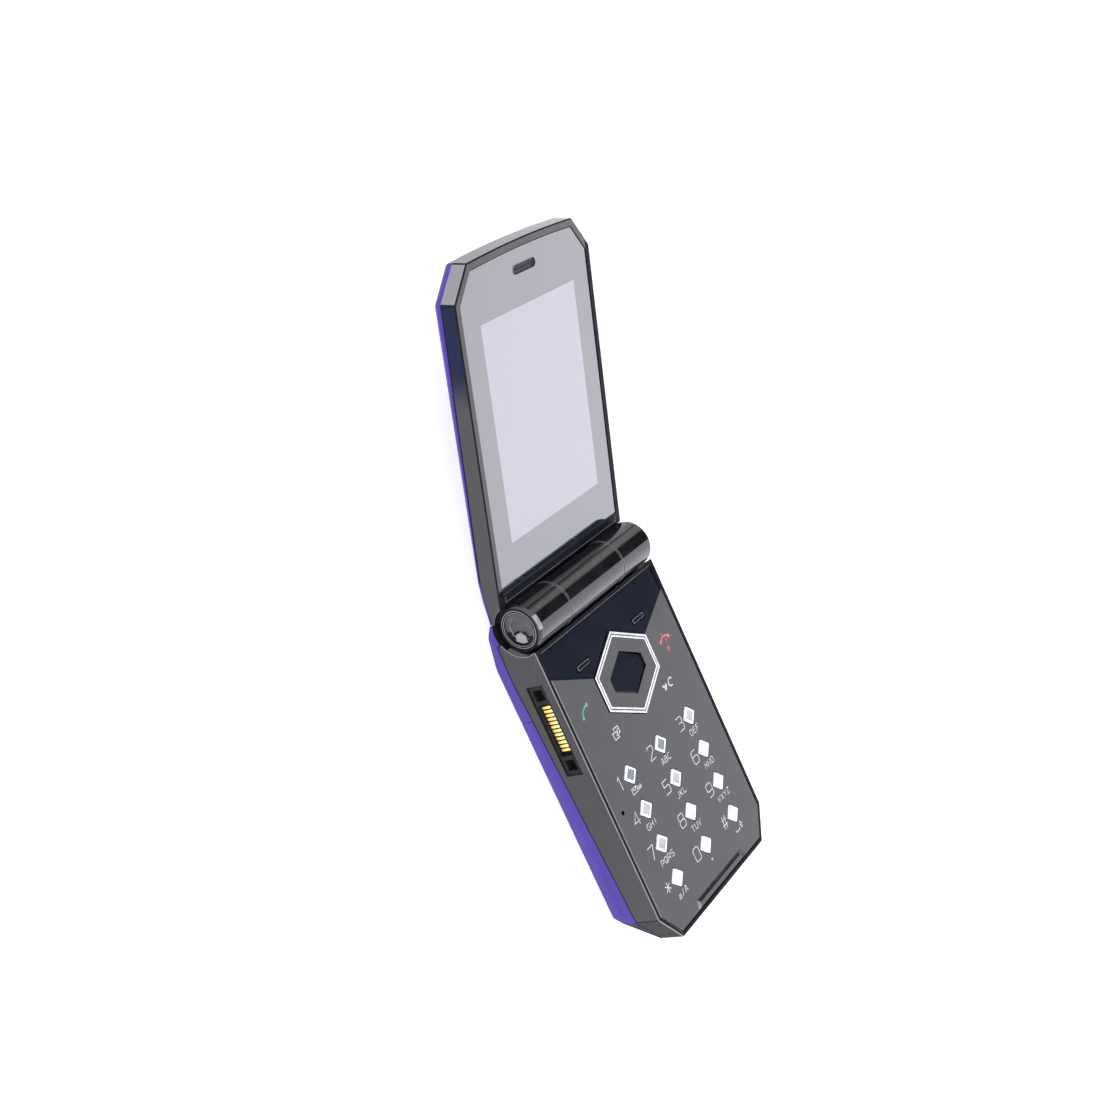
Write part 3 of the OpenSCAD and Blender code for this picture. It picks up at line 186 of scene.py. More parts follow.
# one row a finish: the values that lookKeys names, then what only some finishes have
lookKeys = ("colour", "tint", "cloud", "smear", "rough", "grain", "depth")
lookRows = {
    "blackGloss": ((0.004, 0.004, 0.005), (0.007, 0.007, 0.009), 150, 220, (0.06, 0.12), 2600, 0.05,
        {"scratch": 0.04, "IOR": 1.5}),
    "bandGloss": ((0.004, 0.004, 0.005), (0.007, 0.007, 0.009), 150, 220, (0.06, 0.12), 2600, 0.04,
        {"scratch": 0.03, "IOR": 1.5}),
    # lid side walls; the painted dark reflection towards the free end is mixed in further down
    "lidWallPaintedReflection": ((0.004, 0.004, 0.005), (0.007, 0.007, 0.009), 150, 220, (0.06, 0.12), 2600, 0.04,
        {"scratch": 0.03, "IOR": 1.53}),
    # pale grey: painted highlights on eased edges, chamfers and thin lines, and the own pale outline of the soft key
    # bars
    "paleHighlightAndTrim": ((0.12, 0.115, 0.118), (0.14, 0.135, 0.138), 300, 400, (0.1, 0.2), 2600, 0.05,
        {"scratch": 0.03, "IOR": 1.5}),
    # dull black: the front chamfers and chin, and painted shade on the shaded eased edges and thumb scoop faces
    "dullBlackAndPaintedShade": ((0.006, 0.006, 0.007), (0.011, 0.011, 0.012), 400, 500, (0.2, 0.32), 4000, 0.1,
        {"Specular IOR Level": 0.023}),
    # near-black with almost no specular: painted shade on eased edges, the tray, the hollows and the lower cap dish
    "paintedShadeBlack": ((0.006, 0.0065, 0.009), (0.009, 0.01, 0.014), 500, 700, (0.24, 0.4), 5000, 0.1,
        {"Specular IOR Level": 0.03}),
    "blackEdge": ((0.018, 0.018, 0.021), (0.03, 0.03, 0.034), 900, 1200, (0.12, 0.26), 5000, 0.12, {"IOR": 1.5}),
    "blackJewel": ((0.008, 0.0095, 0.016), (0.011, 0.0125, 0.02), 150, 220, (0.05, 0.1), 2600, 0.04,
        {"scratch": 0.03, "IOR": 1.45}),
    "blackMatte": ((0.009, 0.008, 0.009), (0.015, 0.013, 0.014), 700, 900, (0.42, 0.6), 7000, 0.5,
        {"Specular IOR Level": 0.1}),
    "violetGloss": ((0.039, 0.022, 0.18), (0.045, 0.026, 0.198), 90, 160, (0.26, 0.36), 3200, 0.02,
        {"Specular IOR Level": 0.16}),
    # darker violet: painted shade on the lid's down-facing end chamfers
    "violetPaintedShade": ((0.012, 0.0065, 0.055), (0.016, 0.009, 0.068), 300, 500, (0.26, 0.4), 4000, 0.04,
        {"Specular IOR Level": 0.16}),
    # lighter violet: painted highlight on the lid cover's eased edges
    "violetEdgeHighlight": ((0.075, 0.052, 0.27), (0.095, 0.07, 0.31), 700, 900, (0.3, 0.44), 5000, 0.05,
        {"Specular IOR Level": 0.3}),
    # pale violet: painted highlight along the feet of the violet shells
    "violetPaintedHighlight": ((0.13, 0.105, 0.36), (0.15, 0.125, 0.39), 700, 900, (0.3, 0.44), 5000, 0.05,
        {"Specular IOR Level": 0.3}),
    "pipWhite": ((0.8, 0.81, 0.84), (0.72, 0.74, 0.79), 800, 900, (0.16, 0.28), 4000, 0.08),
    "pipFace": ((0.3, 0.305, 0.3), (0.25, 0.255, 0.255), 500, 900, (0.1, 0.2), 4000, 0.1),
    "pipBright": ((0.74, 0.75, 0.77), (0.68, 0.69, 0.71), 500, 900, (0.1, 0.2), 4000, 0.08),
    "pipBlue": ((0.085, 0.105, 0.155), (0.115, 0.135, 0.185), 500, 900, (0.08, 0.16), 4000, 0.08),
    "silverTrim": ((0.62, 0.62, 0.63), (0.5, 0.5, 0.52), 600, 900, (0.2, 0.34), 5200, 0.12, {"Metallic": 0.75}),
    "printWhite": ((0.43, 0.43, 0.45), (0.36, 0.36, 0.38), 900, 900, (0.4, 0.6), 6000, 0.2),
    "printGreen": ((0.05, 0.21, 0.15), (0.07, 0.25, 0.18), 900, 900, (0.4, 0.6), 6000, 0.2),
    "printRed": ((0.44, 0.085, 0.1), (0.36, 0.07, 0.085), 900, 900, (0.4, 0.6), 6000, 0.2),
    "rubberGrey": ((0.3, 0.3, 0.31), (0.25, 0.25, 0.26), 300, 400, (0.6, 0.8), 3000, 0.5),
    "domeSteel": ((0.62, 0.63, 0.65), (0.5, 0.51, 0.53), 500, 600, (0.2, 0.35), 3000, 0.15,
        {"stretch": (1, 6, 1), "Metallic": 1.0}),
    "boardGreen": ((0.015, 0.09, 0.04), (0.03, 0.14, 0.06), 420, 500, (0.25, 0.4), 2500, 0.4),
    "canSteel": ((0.55, 0.56, 0.58), (0.46, 0.47, 0.49), 300, 500, (0.28, 0.42), 3000, 0.2,
        {"stretch": (8, 1, 1), "Metallic": 1.0}),
    "cellWrap": ((0.12, 0.12, 0.13), (0.2, 0.2, 0.21), 200, 300, (0.35, 0.5), 2000, 0.3, {"Metallic": 0.3}),
    "goldPlate": ((0.95, 0.62, 0.12), (0.85, 0.52, 0.09), 800, 1200, (0.18, 0.32), 5000, 0.15,
        {"stretch": (1, 5, 1), "Metallic": 1.0}),
    "contactGold": ((1.0, 0.79, 0.28), (0.93, 0.7, 0.21), 800, 1200, (0.32, 0.46), 5000, 0.12,
        {"stretch": (1, 5, 1), "Metallic": 0.3}),
    "turnedSteel": ((0.52, 0.52, 0.54), (0.42, 0.42, 0.44), 500, 800, (0.24, 0.38), 4000, 0.25,
        {"stretch": (9, 1, 1), "Metallic": 1.0}),
    "acetal": ((0.66, 0.65, 0.61), (0.6, 0.59, 0.55), 300, 500, (0.4, 0.55), 4000, 0.25),
    "flexFilm": ((0.42, 0.2, 0.04), (0.34, 0.15, 0.03), 400, 500, (0.25, 0.4), 3000, 0.2),
    "lensGlass": ((0.006, 0.006, 0.009), (0.012, 0.01, 0.02), 500, 400, (0.03, 0.07), 2000, 0.02,
        {"Coat Weight": 0.8, "IOR": 1.6}),
    "grille": ((0.02, 0.019, 0.024), (0.034, 0.032, 0.04), 900, 900, (0.35, 0.5), 6000, 0.4,
        {"Specular IOR Level": 0.1}),
    "capDish": ((0.022, 0.021, 0.021), (0.036, 0.034, 0.034), 500, 500, (0.14, 0.28), 4000, 0.12, {"IOR": 1.42}),
    "capGleam": ((0.2, 0.2, 0.21), (0.15, 0.15, 0.16), 600, 700, (0.2, 0.36), 4000, 0.1),
}
finishes = {name: paint(name, {**dict(zip(lookKeys, row)), **(row[7] if len(row) > 7 else {})})
            for name, row in lookRows.items()}


def paintOver(finishName, factor, colour):
    tree = finishes[finishName].node_tree
    shader = tree.nodes["Principled BSDF"]
    under = shader.inputs["Base Color"].links[0].from_socket
    tree.links.new(blendColour(tree, factor, under, colour), shader.inputs["Base Color"])
    return shader


# the lid's side walls turn from grey to deep navy towards the free end: a painted dark reflection, with the specular
# dimmed there too
wallSet = {"start": 39, "end": 51, "navy": (0.008, 0.011, 0.032), "shine": 0.5, "dim": 0.06}
wallTree = finishes["lidWallPaintedReflection"].node_tree
paintedReflectionFade = ramp(wallTree, lidSpot(wallTree).outputs["Y"], wallSet["start"] * mm, wallSet["end"] * mm)
wallShader = paintOver("lidWallPaintedReflection", paintedReflectionFade, wallSet["navy"])
wallTree.links.new(ramp(wallTree, paintedReflectionFade, 0.0, 1.0, wallSet["shine"], wallSet["dim"]),
                   wallShader.inputs["Specular IOR Level"])

# rings of the camera lens, counted out from its axis
lensSet = {"ring": (1.45, 1.6, 1.85, 2.0), "metal": (0.34, 0.34, 0.36), "flatten": 0.01}
lensTree = finishes["lensGlass"].node_tree
lensSpot = addNode(lensTree, "ShaderNodeMapping", {
    "Vector": objectSpot(lensTree), "Location": -middle("camera_window") * mm, "Scale": (1, 1, lensSet["flatten"])})
lensFar = addNode(lensTree, "ShaderNodeVectorMath", {0: lensSpot.outputs[0]}, operation="LENGTH").outputs["Value"]
innerEdge, innerEnd, outerEdge, outerEnd = [value * mm for value in lensSet["ring"]]
lensRing = times(lensTree, ramp(lensTree, lensFar, innerEdge, innerEnd),
                 ramp(lensTree, lensFar, outerEdge, outerEnd, 1.0, 0.0))
lensShader = paintOver("lensGlass", lensRing, lensSet["metal"])
lensTree.links.new(lensRing, lensShader.inputs["Metallic"])
print("flip phone:", len(finishes), "finishes mixed")

# pale floor under the phone that glows, more strongly on the left, washing out the lid's cast shadow there
floorSet = {"half": 3.0, "drop": 0.00004, "colour": (0.6, 0.6, 0.6), "tint": (0.58, 0.58, 0.585), "brightSide": -0.03,
            "dimSide": 0.05, "brightGlow": 0.75, "dimGlow": 0.12}
floorFinish = paint("paleFloor", {"colour": floorSet["colour"], "tint": floorSet["tint"], "cloud": 4, "smear": 6,
                                  "rough": (0.25, 0.4), "grain": 900, "depth": 0.02})
floorTree = floorFinish.node_tree
floorSpot = addNode(floorTree, "ShaderNodeSeparateXYZ", {0: objectSpot(floorTree)})
floorShader = floorTree.nodes["Principled BSDF"]
floorShader.inputs["Emission Color"].default_value = (1, 1, 1, 1)
floorTree.links.new(ramp(floorTree, floorSpot.outputs["X"], floorSet["brightSide"], floorSet["dimSide"],
                         floorSet["brightGlow"], floorSet["dimGlow"]), floorShader.inputs["Emission Strength"])
floorShape = bmesh.new()
bmesh.ops.create_grid(floorShape, x_segments=8, y_segments=8, size=floorSet["half"])
bmesh.ops.translate(floorShape, verts=floorShape.verts, vec=(0, 0, -floorSet["drop"]))
floorMesh = bpy.data.meshes.new("paleFloor")
floorShape.to_mesh(floorMesh)
floorShape.free()
floorMesh.materials.append(floorFinish)
floorObject = bpy.data.objects.new("paleFloor", floorMesh)
bpy.context.collection.objects.link(floorObject)


def setOut(name, mesh, body, stands=()):
    piece = bpy.data.objects.new(name, mesh)
    bpy.context.collection.objects.link(piece)
    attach(piece, body)
    if stands:
        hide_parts(*stands)
    return piece


# the modifier's result becomes the piece's own mesh
def settle(piece, modifier):
    before = piece.data
    after = bpy.data.meshes.new_from_object(piece.evaluated_get(bpy.context.evaluated_depsgraph_get()))
    piece.modifiers.remove(modifier)
    piece.data = after
    bpy.data.meshes.remove(before)
    after.name = piece.name
    return after


def keepPiece(name, shape, finishNames, body, stands=(), place=basePlace, smoothAngle=None):
    bmesh.ops.remove_doubles(shape, verts=shape.verts, dist=1e-7)
    bmesh.ops.recalc_face_normals(shape, faces=shape.faces)
    mesh = bpy.data.meshes.new(name)
    shape.to_mesh(mesh)
    shape.free()
    mesh.transform(place)
    for finishName in finishNames:
        mesh.materials.append(finishes[finishName])
    if smoothAngle:
        mesh.shade_smooth()
        mesh.set_sharp_from_angle(angle=math.radians(smoothAngle))
    setOut(name, mesh, body, stands)


def addLoft(shape, rings, finish=0, joined=False):
    loops = [[shape.verts.new(Vector(point) * mm) for point in ring] for ring in rings]
    strips = list(zip(loops, loops[1:])) + ([(loops[-1], loops[0])] if joined else [])
    paints = finish if isinstance(finish, list) else [finish] * len(strips)
    for (low, high), index in zip(strips, paints):
        for i in range(len(low)):
            j = (i + 1) % len(low)
            shape.faces.new((low[i], low[j], high[j], high[i])).material_index = index
    if not joined:
        shape.faces.new(loops[0][::-1]).material_index = paints[0]
        shape.faces.new(loops[-1]).material_index = paints[-1]


def inset(outline, distance):
    moved = []
    for i, here in enumerate(outline):
        before, after = Vector(outline[i - 1]), Vector(outline[(i + 1) % len(outline)])
        here = Vector(here)
        come, go = (here - before).normalized(), (after - here).normalized()
        first, second = Vector((-come.y, come.x)), Vector((-go.y, go.x))
        moved.append(here + (first + second) * (distance / (1 + first.dot(second))))
    return moved


def lift(outline, height, centre=(0, 0)):
    return [(point[0] + centre[0], point[1] + centre[1], height) for point in outline]


# CAD shells with their outer edges eased; the eased strip has a finish of its own, the second in the list; pale strips
# are painted highlights and dark ones painted shade
easeSet = {"weld": 2e-6, "level": 0.4, "crease": 18, "reach": 3.5, "smooth": 28, "segments": 2}


def easeShell(nodeName, name, width, finishNames, body, picks, reshape=None, repaint=None, flat=False):
    mesh = nodes[nodeName].data.copy()
    shape = bmesh.new()
    shape.from_mesh(mesh)
    bmesh.ops.remove_doubles(shape, verts=shape.verts, dist=easeSet["weld"])
    bmesh.ops.dissolve_limit(shape, angle_limit=math.radians(easeSet["level"]), use_dissolve_boundaries=False,
                             verts=shape.verts, edges=shape.edges)
    for face in shape.faces:
        face.material_index = 0
    if reshape:
        reshape(shape)
    weights = shape.edges.layers.float.new("bevel_weight_edge")
    chosen = 0
    for edge in shape.edges:
        if len(edge.link_faces) == 2 and edge.is_convex and edge.calc_face_angle() > math.radians(easeSet["crease"]):
            heart = (edge.verts[0].co + edge.verts[1].co) / (2 * mm)
            if edge.calc_length() > easeSet["reach"] * width * mm and picks(heart):
                edge[weights] = 1.0
                chosen += 1
    mesh.materials.clear()
    for finishName in finishNames:
        mesh.materials.append(finishes[finishName])
    shape.to_mesh(mesh)
    shape.free()
    if flat:
        mesh.shade_flat()
    else:
        mesh.shade_smooth()
        mesh.set_sharp_from_angle(angle=math.radians(easeSet["smooth"]))
    piece = setOut(name, mesh, body, [nodeName])
    ease = piece.modifiers.new("ease", "BEVEL")
    ease.limit_method = "WEIGHT"
    ease.width = width * mm
    ease.segments = easeSet["segments"]
    ease.use_clamp_overlap = False
    ease.harden_normals = not flat
    ease.material = 1
    for face in settle(piece, ease).polygons:
        if repaint and face.material_index == 1:
            face.material_index = repaint(face.center / mm)
    print("flip phone:", name, "eased on", chosen, "edges")


def inLid(point):
    return lidPlace.inverted() @ (Vector(point) * mm) / mm


def fromHinge(spot):
    return math.hypot(spot.y - hinge["pos_m"][1], spot.z - hinge["pos_m"][2]) / mm


def cutFaces(shape, faces, spot, along):
    edges = {edge for face in faces for edge in face.edges}
    verts = {vert for face in faces for vert in face.verts}
    bmesh.ops.bisect_plane(shape, geom=[*verts, *edges, *faces], plane_co=spot, plane_no=along)


# how nearly a face looks along an axis, and how far off a height still counts as on it
square, leaning, touch = 0.9, 0.4, 0.02
bandSet = {"lidEase": 0.24, "baseEase": 0.16, "wallX": 21.5, "lipX": 20.42, "trayEnd": 6.4, "trayX": 21, "trayR": 5,
           "hingeS": 3, "backN": -5, "endS": 66.3, "cornerS": 60, "cornerAt": (16.9, 60.4), "cornerCut": (4.9, 6.1),
           "cornerLeast": 0.93, "chamferS": 55, "knuckleX": 10, "capR": 4.9, "hollowR": 5.3, "rimY": 30.75, "rimZ": 9,
           "chamferY": -25, "footX": 21.6, "lowZ": 5.5, "wallTop": 11, "litSideX": -15.5}


def lidRim(spot):
    x, s, n = inLid(spot)
    (cornerX, cornerS), (cutX, cutS) = bandSet["cornerAt"], bandSet["cornerCut"]
    onCorner = s > bandSet["cornerS"] and (abs(x) - cornerX) / cutX + (s - cornerS) / cutS > bandSet["cornerLeast"]
    onEnd = n > bandSet["backN"] and (s > bandSet["endS"] or onCorner)
    return s > bandSet["hingeS"] and (abs(x) > bandSet["wallX"] or onEnd)


# lid frame faces: corner chamfers pale as painted highlight, side walls with the painted dark reflection, tray, lip and
# faces by the knuckles as painted shade
def lidSides(shape):
    turn = lidPlace.to_3x3().inverted()
    trayLine = lidPlace @ Vector((0, bandSet["trayEnd"] * mm, 0))
    for spot, along in ((trayLine, lidPlace.to_3x3() @ Vector((0, 1, 0))), ((bandSet["lipX"] * mm, 0, 0), (1, 0, 0))):
        cutFaces(shape, [face for face in shape.faces if (turn @ face.normal).z > square], spot, along)
    for face in shape.faces:
        side = turn @ face.normal
        x, s, n = inLid(face.calc_center_median() / mm)
        far = math.hypot(s, n)
        inTray = side.z > 0.5 and s < bandSet["trayEnd"] and abs(x) < bandSet["trayX"] and far > bandSet["trayR"]
        onLip = side.z > square and s > bandSet["trayEnd"] and x > bandSet["lipX"]
        if leaning < side.y < square and abs(side.x) > leaning and s > bandSet["chamferS"]:
            face.material_index = 2
        elif abs(side.x) > square and abs(x) > bandSet["wallX"]:
            face.material_index = 3
        elif inTray or onLip or abs(side.x) > square and far < bandSet["capR"]:
            face.material_index = 4
        elif abs(x) < bandSet["knuckleX"] and far < bandSet["hollowR"]:
            face.material_index = 4


# base frame: front chamfers dull black, rim tops behind and beside the plate painted shade
def dullChamfersAndShadedRim(shape):
    for face in shape.faces:
        heart = face.calc_center_median()
        behind = heart.y > bandSet["rimY"] * mm and heart.z > bandSet["rimZ"] * mm
        if face.normal.y < -leaning and heart.y < bandSet["chamferY"] * mm:
            face.material_index = 2
        elif behind and fromHinge(heart) > bandSet["capR"]:
            face.material_index = 3
        elif face.normal.z > square and abs(heart.z / mm - plateTop) < 0.05:
            face.material_index = 3


def baseRim(spot):
    return abs(spot.x) > bandSet["footX"] or spot.y < bandSet["chamferY"] and spot.z > bandSet["lowZ"]


easeShell("lid_frame", "lidBand", bandSet["lidEase"], ["bandGloss", "paintedShadeBlack", "paleHighlightAndTrim", "lidWallPaintedReflection", "paintedShadeBlack"],
          "lid", lidRim, lidSides)
# base frame eased edges: pale on the left as painted highlight, painted shade low down, dull black as painted shade
# elsewhere
easeShell("base_frame", "baseBand", bandSet["baseEase"], ["blackGloss", "paleHighlightAndTrim", "dullBlackAndPaintedShade", "paintedShadeBlack"], "base",
          baseRim, dullChamfersAndShadedRim,
          lambda spot: 3 if spot.z < bandSet["wallTop"] else 1 if spot.x < bandSet["litSideX"] else 2)

# violet shells: black front ends, and a paler foot along the sides as painted highlight
violetSet = {"lidEase": 0.18, "floorEase": 0.36, "backN": -5.4, "clockS": 36.1, "clockHalf": 3.2, "endS": 60,
             "sideX": 21, "hingeS": 12, "faceS": 62, "footZ": 0.85, "floorZ": 0.6, "chinY": -24, "chinEdge": -28.5}


# lid cover edges eased in lighter violet as painted highlight
def lidCrease(spot):
    x, s, n = inLid(spot)
    offClock = abs(s - violetSet["clockS"]) > violetSet["clockHalf"]
    offHinge = abs(spot.x) > violetSet["sideX"] or s > violetSet["hingeS"]
    return n < violetSet["backN"] and offClock and s < violetSet["endS"] and offHinge


# the end faces are black; the down-facing end chamfers take a darker violet as painted shade
def blackEnd(shape):
    turn = lidPlace.to_3x3().inverted()
    for face in shape.faces:
        side = turn @ face.normal
        s = inLid(face.calc_center_median() / mm).y
        if side.y > 0.8 and s > violetSet["faceS"]:
            face.material_index = 2
        elif side.y > leaning and abs(side.x) > leaning and s > violetSet["endS"] and side.z < -0.2:
            face.material_index = 3


# the lowest strip of the side walls and its eased edges painted pale as highlight
def highlightFoot(shape):
    cutFaces(shape, [face for face in shape.faces if abs(face.normal.x) > square and face.normal.z < -0.1],
             (0, 0, violetSet["footZ"] * mm), (0, 0, 1))
    for face in shape.faces:
        heart = face.calc_center_median() / mm
        if abs(face.normal.x) > square and heart.z < violetSet["footZ"] and abs(heart.x) > bandSet["lipX"]:
            face.material_index = 1


def darkChin(shape):
    highlightFoot(shape)
    for face in shape.faces:
        if face.normal.y < -0.35 and face.calc_center_median().y < violetSet["chinY"] * mm:
            face.material_index = 2


# the rear cap's hollow round the barrel is painted black as shade
def shadeHollow(shape):
    highlightFoot(shape)
    for face in shape.faces:
        if fromHinge(face.calc_center_median()) < bandSet["hollowR"]:
            face.material_index = 2


def nearFloor(spot):
    return spot.z < violetSet["floorZ"]


easeShell("lid_cover", "lidShell", violetSet["lidEase"], ["violetGloss", "violetEdgeHighlight", "bandGloss", "violetPaintedShade"],
          "lid", lidCrease, blackEnd, flat=True)
easeShell("battery_cover", "backCover", violetSet["floorEase"], ["violetGloss", "violetPaintedHighlight", "dullBlackAndPaintedShade"],
          "back_cover", nearFloor, darkChin,
          lambda spot: 2 if spot.y < violetSet["chinEdge"] else 1, flat=True)
easeShell("rear_cap", "rearShell", violetSet["floorEase"], ["violetGloss", "violetPaintedHighlight", "paintedShadeBlack"], "base",
          nearFloor, shadeHollow, flat=True)

# keypad sheet: the facet by the hinge falls more steeply than in CAD, and the thumb scoop has faces painted pale as
# highlight and dull black as shade
facetSet = {"y": 20.22, "top": 11.5, "fall": 0.0897, "cadFall": 0.0573}
plateSet = {"ease": 0.2, "edgeX": 20.5, "edgeY": -30.5, "edgeZ": 11.5, "scoopY": -28.5, "scoopFloor": 11.28,
            "bandY": -29.75, "rampX": -8.4}


def facetHeight(y, fall):
    return facetSet["top"] - (y - facetSet["y"]) * fall


def scoopFloor(shape):
    return [face for face in shape.faces if face.normal.z > 0.99
            and abs(face.calc_center_median().z / mm - plateSet["scoopFloor"]) < touch]


def sinkFacet(shape):
    for vert in shape.verts:
        x, y, z = vert.co / mm
        if y > facetSet["y"] - 0.05 and abs(z - facetHeight(y, facetSet["cadFall"])) < touch:
            vert.co.z = facetHeight(y, facetSet["fall"]) * mm
    for face in shape.faces:
        if face.normal.z > square and face.normal.y > 0.03:
            face.material_index = 2
    cutFaces(shape, scoopFloor(shape), (0, plateSet["bandY"] * mm, 0), (0, 1, 0))
    cutFaces(shape, scoopFloor(shape), (plateSet["rampX"] * mm, 0, 0), (1, 0, 0))
    floor = scoopFloor(shape)
    for face in shape.faces:
        heart = face.calc_center_median() / mm
        onRamp = 0.3 < face.normal.z < 0.97 and heart.y < plateSet["scoopY"]
        if onRamp and face.normal.x > 0.25 or face in floor and heart.x < plateSet["rampX"]:
            face.material_index = 4
        elif onRamp and face.normal.x > -0.25 or face in floor and heart.y > plateSet["bandY"]:
            face.material_index = 5


def plateEdge(spot):
    return spot.z > plateSet["edgeZ"] and (abs(spot.x) > plateSet["edgeX"] or spot.y < plateSet["edgeY"])


# eased plate edges: pale on the left as painted highlight, painted shade elsewhere
easeShell("keypad_plate", "keypadSheet", plateSet["ease"],
          ["blackGloss", "paleHighlightAndTrim", "blackJewel", "paintedShadeBlack", "paleHighlightAndTrim", "dullBlackAndPaintedShade"], "base",
          plateEdge, sinkFacet, lambda spot: 1 if spot.x < bandSet["litSideX"] else 3, flat=True)

# select key with its top leaning towards the user
selectSet = {"ease": 0.12, "tilt": 0.1, "front": 12.15, "lowZ": 10.6}


def leanSelect(shape):
    for vert in shape.verts:
        if vert.co.z > plateTop * mm - 1e-5:
            vert.co.z -= (vert.co.y / mm - selectSet["front"]) * selectSet["tilt"] * mm


easeShell("select_key", "selectKey", selectSet["ease"], ["blackJewel", "blackEdge"], "select_key",
          lambda spot: spot.z > selectSet["lowZ"], leanSelect, flat=True)
print("flip phone: shells done")

# screen window: dark mirror border round the pale picture
screenSet = {"ease": 0.15, "rimN": -2.75, "border": (0.01, 0.013, 0.022), "picture": (0.145, 0.138, 0.172),
             "half": 15.3, "low": 14.65, "high": 55.45, "edge": 0.04, "ior": 2.3, "cloud": 60, "smear": 140,
             "rough": (0.02, 0.07), "borderTint": 1.3, "pictureTint": 1.05}


def paintScreen():
    finish, tree, shader = newFinish("screenGlass")
    spot = objectSpot(tree)
    part = lidSpot(tree)
    edge = screenSet["edge"]

    def step(value, at, low=0.0, high=1.0):
        return ramp(tree, value, (screenSet[at] - edge) * mm, (screenSet[at] + edge) * mm, low, high)

    across = times(tree, part.outputs["X"], 0.0, "ABSOLUTE")
    along = times(tree, step(part.outputs["Y"], "low"), step(part.outputs["Y"], "high", 1.0, 0.0))
    mask = times(tree, step(across, "half", 1.0, 0.0), along)
    cloud = noise(tree, spot, screenSet["cloud"], 3.0)
    border, picture = [blendColour(tree, cloud, screenSet[zone], [value * screenSet[zone + "Tint"]
                                                                  for value in screenSet[zone]])
                       for zone in ("border", "picture")]
    tree.links.new(blendColour(tree, mask, border, picture), shader.inputs["Base Color"])
    smear = noise(tree, spot, screenSet["smear"], 4.0, 1.0)
    tree.links.new(ramp(tree, smear, 0.35, 0.75, *screenSet["rough"]), shader.inputs["Roughness"])
    shader.inputs["IOR"].default_value = screenSet["ior"]
    return finish


finishes["screenGlass"] = paintScreen()
easeShell("lid_glass", "screenWindow", screenSet["ease"], ["screenGlass", "paintedShadeBlack"], "lid",
          lambda spot: inLid(spot).z > screenSet["rimN"], flat=True)

# twelve diamond pips, each a raised white rim round a sunk window
pipSet = {"across": 2.1, "along": 2.0, "rim": 0.42, "sink": 0.12, "corner": 0.14, "skirt": 0.5, "skirtLow": 9.95,
          "skirtHigh": 10.45, "foot": 0.8, "footLow": 9.15, "ease": 0.07, "slope": 0.1,
          "blue": ("key_1", "key_2"), "grey": ("key_3", "key_4", "key_5", "key_7")}
keyNames = ["key_1", "key_2", "key_3", "key_4", "key_5", "key_6", "key_7", "key_8", "key_9", "key_star", "key_0",
            "key_hash"]


def cutCorners(outline, cut):
    points = []
    for i, here in enumerate(outline):
        here, before, after = Vector(here), Vector(outline[i - 1]), Vector(outline[(i + 1) % len(outline)])
        points += [here + (before - here).normalized() * cut, here + (after - here).normalized() * cut]
    return points


def circle(radius, count=16):
    turns = [2 * math.pi * i / count for i in range(count)]
    return [(radius * math.cos(turn), radius * math.sin(turn)) for turn in turns]


diamond = [(pipSet["across"], 0), (0, pipSet["along"]), (-pipSet["across"], 0), (0, -pipSet["along"])]


def pipRing(step, height, centre):
    return lift(cutCorners(inset(diamond, step), pipSet["corner"]), height, centre)


def addFoot(shape, centre, finish=0):
    addLoft(shape, [lift(circle(pipSet["foot"]), pipSet[level], centre) for level in ("footLow", "skirtLow")], finish)


for keyName in keyNames:
    centre = middle(keyName)
    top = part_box(keyName)[1].z / mm
    window = "pipBlue" if keyName in pipSet["blue"] else "pipFace" if keyName in pipSet["grey"] else "pipBright"
    pip = bmesh.new()
    addLoft(pip, [pipRing(step, height, centre) for step, height in (
        (-pipSet["skirt"], pipSet["skirtLow"]), (-pipSet["skirt"], pipSet["skirtHigh"]), (0, pipSet["skirtHigh"]),
        (0, top - pipSet["ease"]), (pipSet["ease"], top), (pipSet["rim"], top),
        (pipSet["rim"] + pipSet["slope"], top - pipSet["sink"]))], [0, 0, 0, 0, 0, 1])
    addFoot(pip, centre)
    keepPiece("pip_" + keyName[4:], pip, ["pipWhite", window], keyName, [keyName])
print("flip phone: pips set")

# hollow bars of the two soft keys, lying on the dark facet
barSet = {"half": (2.05, 0.45), "corner": 0.12, "line": 0.13, "proud": 0.1, "sink": 0.1, "ease": 0.04, "slope": 0.03}
halfX, halfY = barSet["half"]
bar = cutCorners([(halfX, -halfY), (halfX, halfY), (-halfX, halfY), (-halfX, -halfY)], barSet["corner"])
skirt = inset(bar, -pipSet["skirt"])


def onFacet(step, sunk, centre):
    return [(x + centre.x, y + centre.y, facetHeight(y + centre.y, facetSet["fall"]) + barSet["proud"] - sunk)
            for x, y in inset(bar, step)]


for barName, barNode in (("softBarLeft", "soft_key_left"), ("softBarRight", "soft_key_right")):
    centre = middle(barNode)
    barShape = bmesh.new()
    addLoft(barShape, [lift(skirt, pipSet["skirtLow"], centre), lift(skirt, pipSet["skirtHigh"], centre),
                       lift(bar, pipSet["skirtHigh"], centre), onFacet(0, barSet["ease"], centre),
                       onFacet(barSet["ease"], 0, centre), onFacet(barSet["line"], 0, centre),
                       onFacet(barSet["line"] + barSet["slope"], barSet["sink"], centre)], [1, 1, 1, 0, 0, 1])
    addFoot(barShape, centre, 1)
    keepPiece(barName, barShape, ["paleHighlightAndTrim", "blackJewel"], barNode, [barNode])

# two silver outlines on the navigation key
trimSet = {"halfWide": 9.75, "halfHigh": 8.95, "halfSide": 3.58, "centreY": 16.64, "top": 11.8, "proud": 0.07,
           "root": -0.03, "frames": ((0.03, 0.42), (0.66, 1.02)), "ease": 0.06}


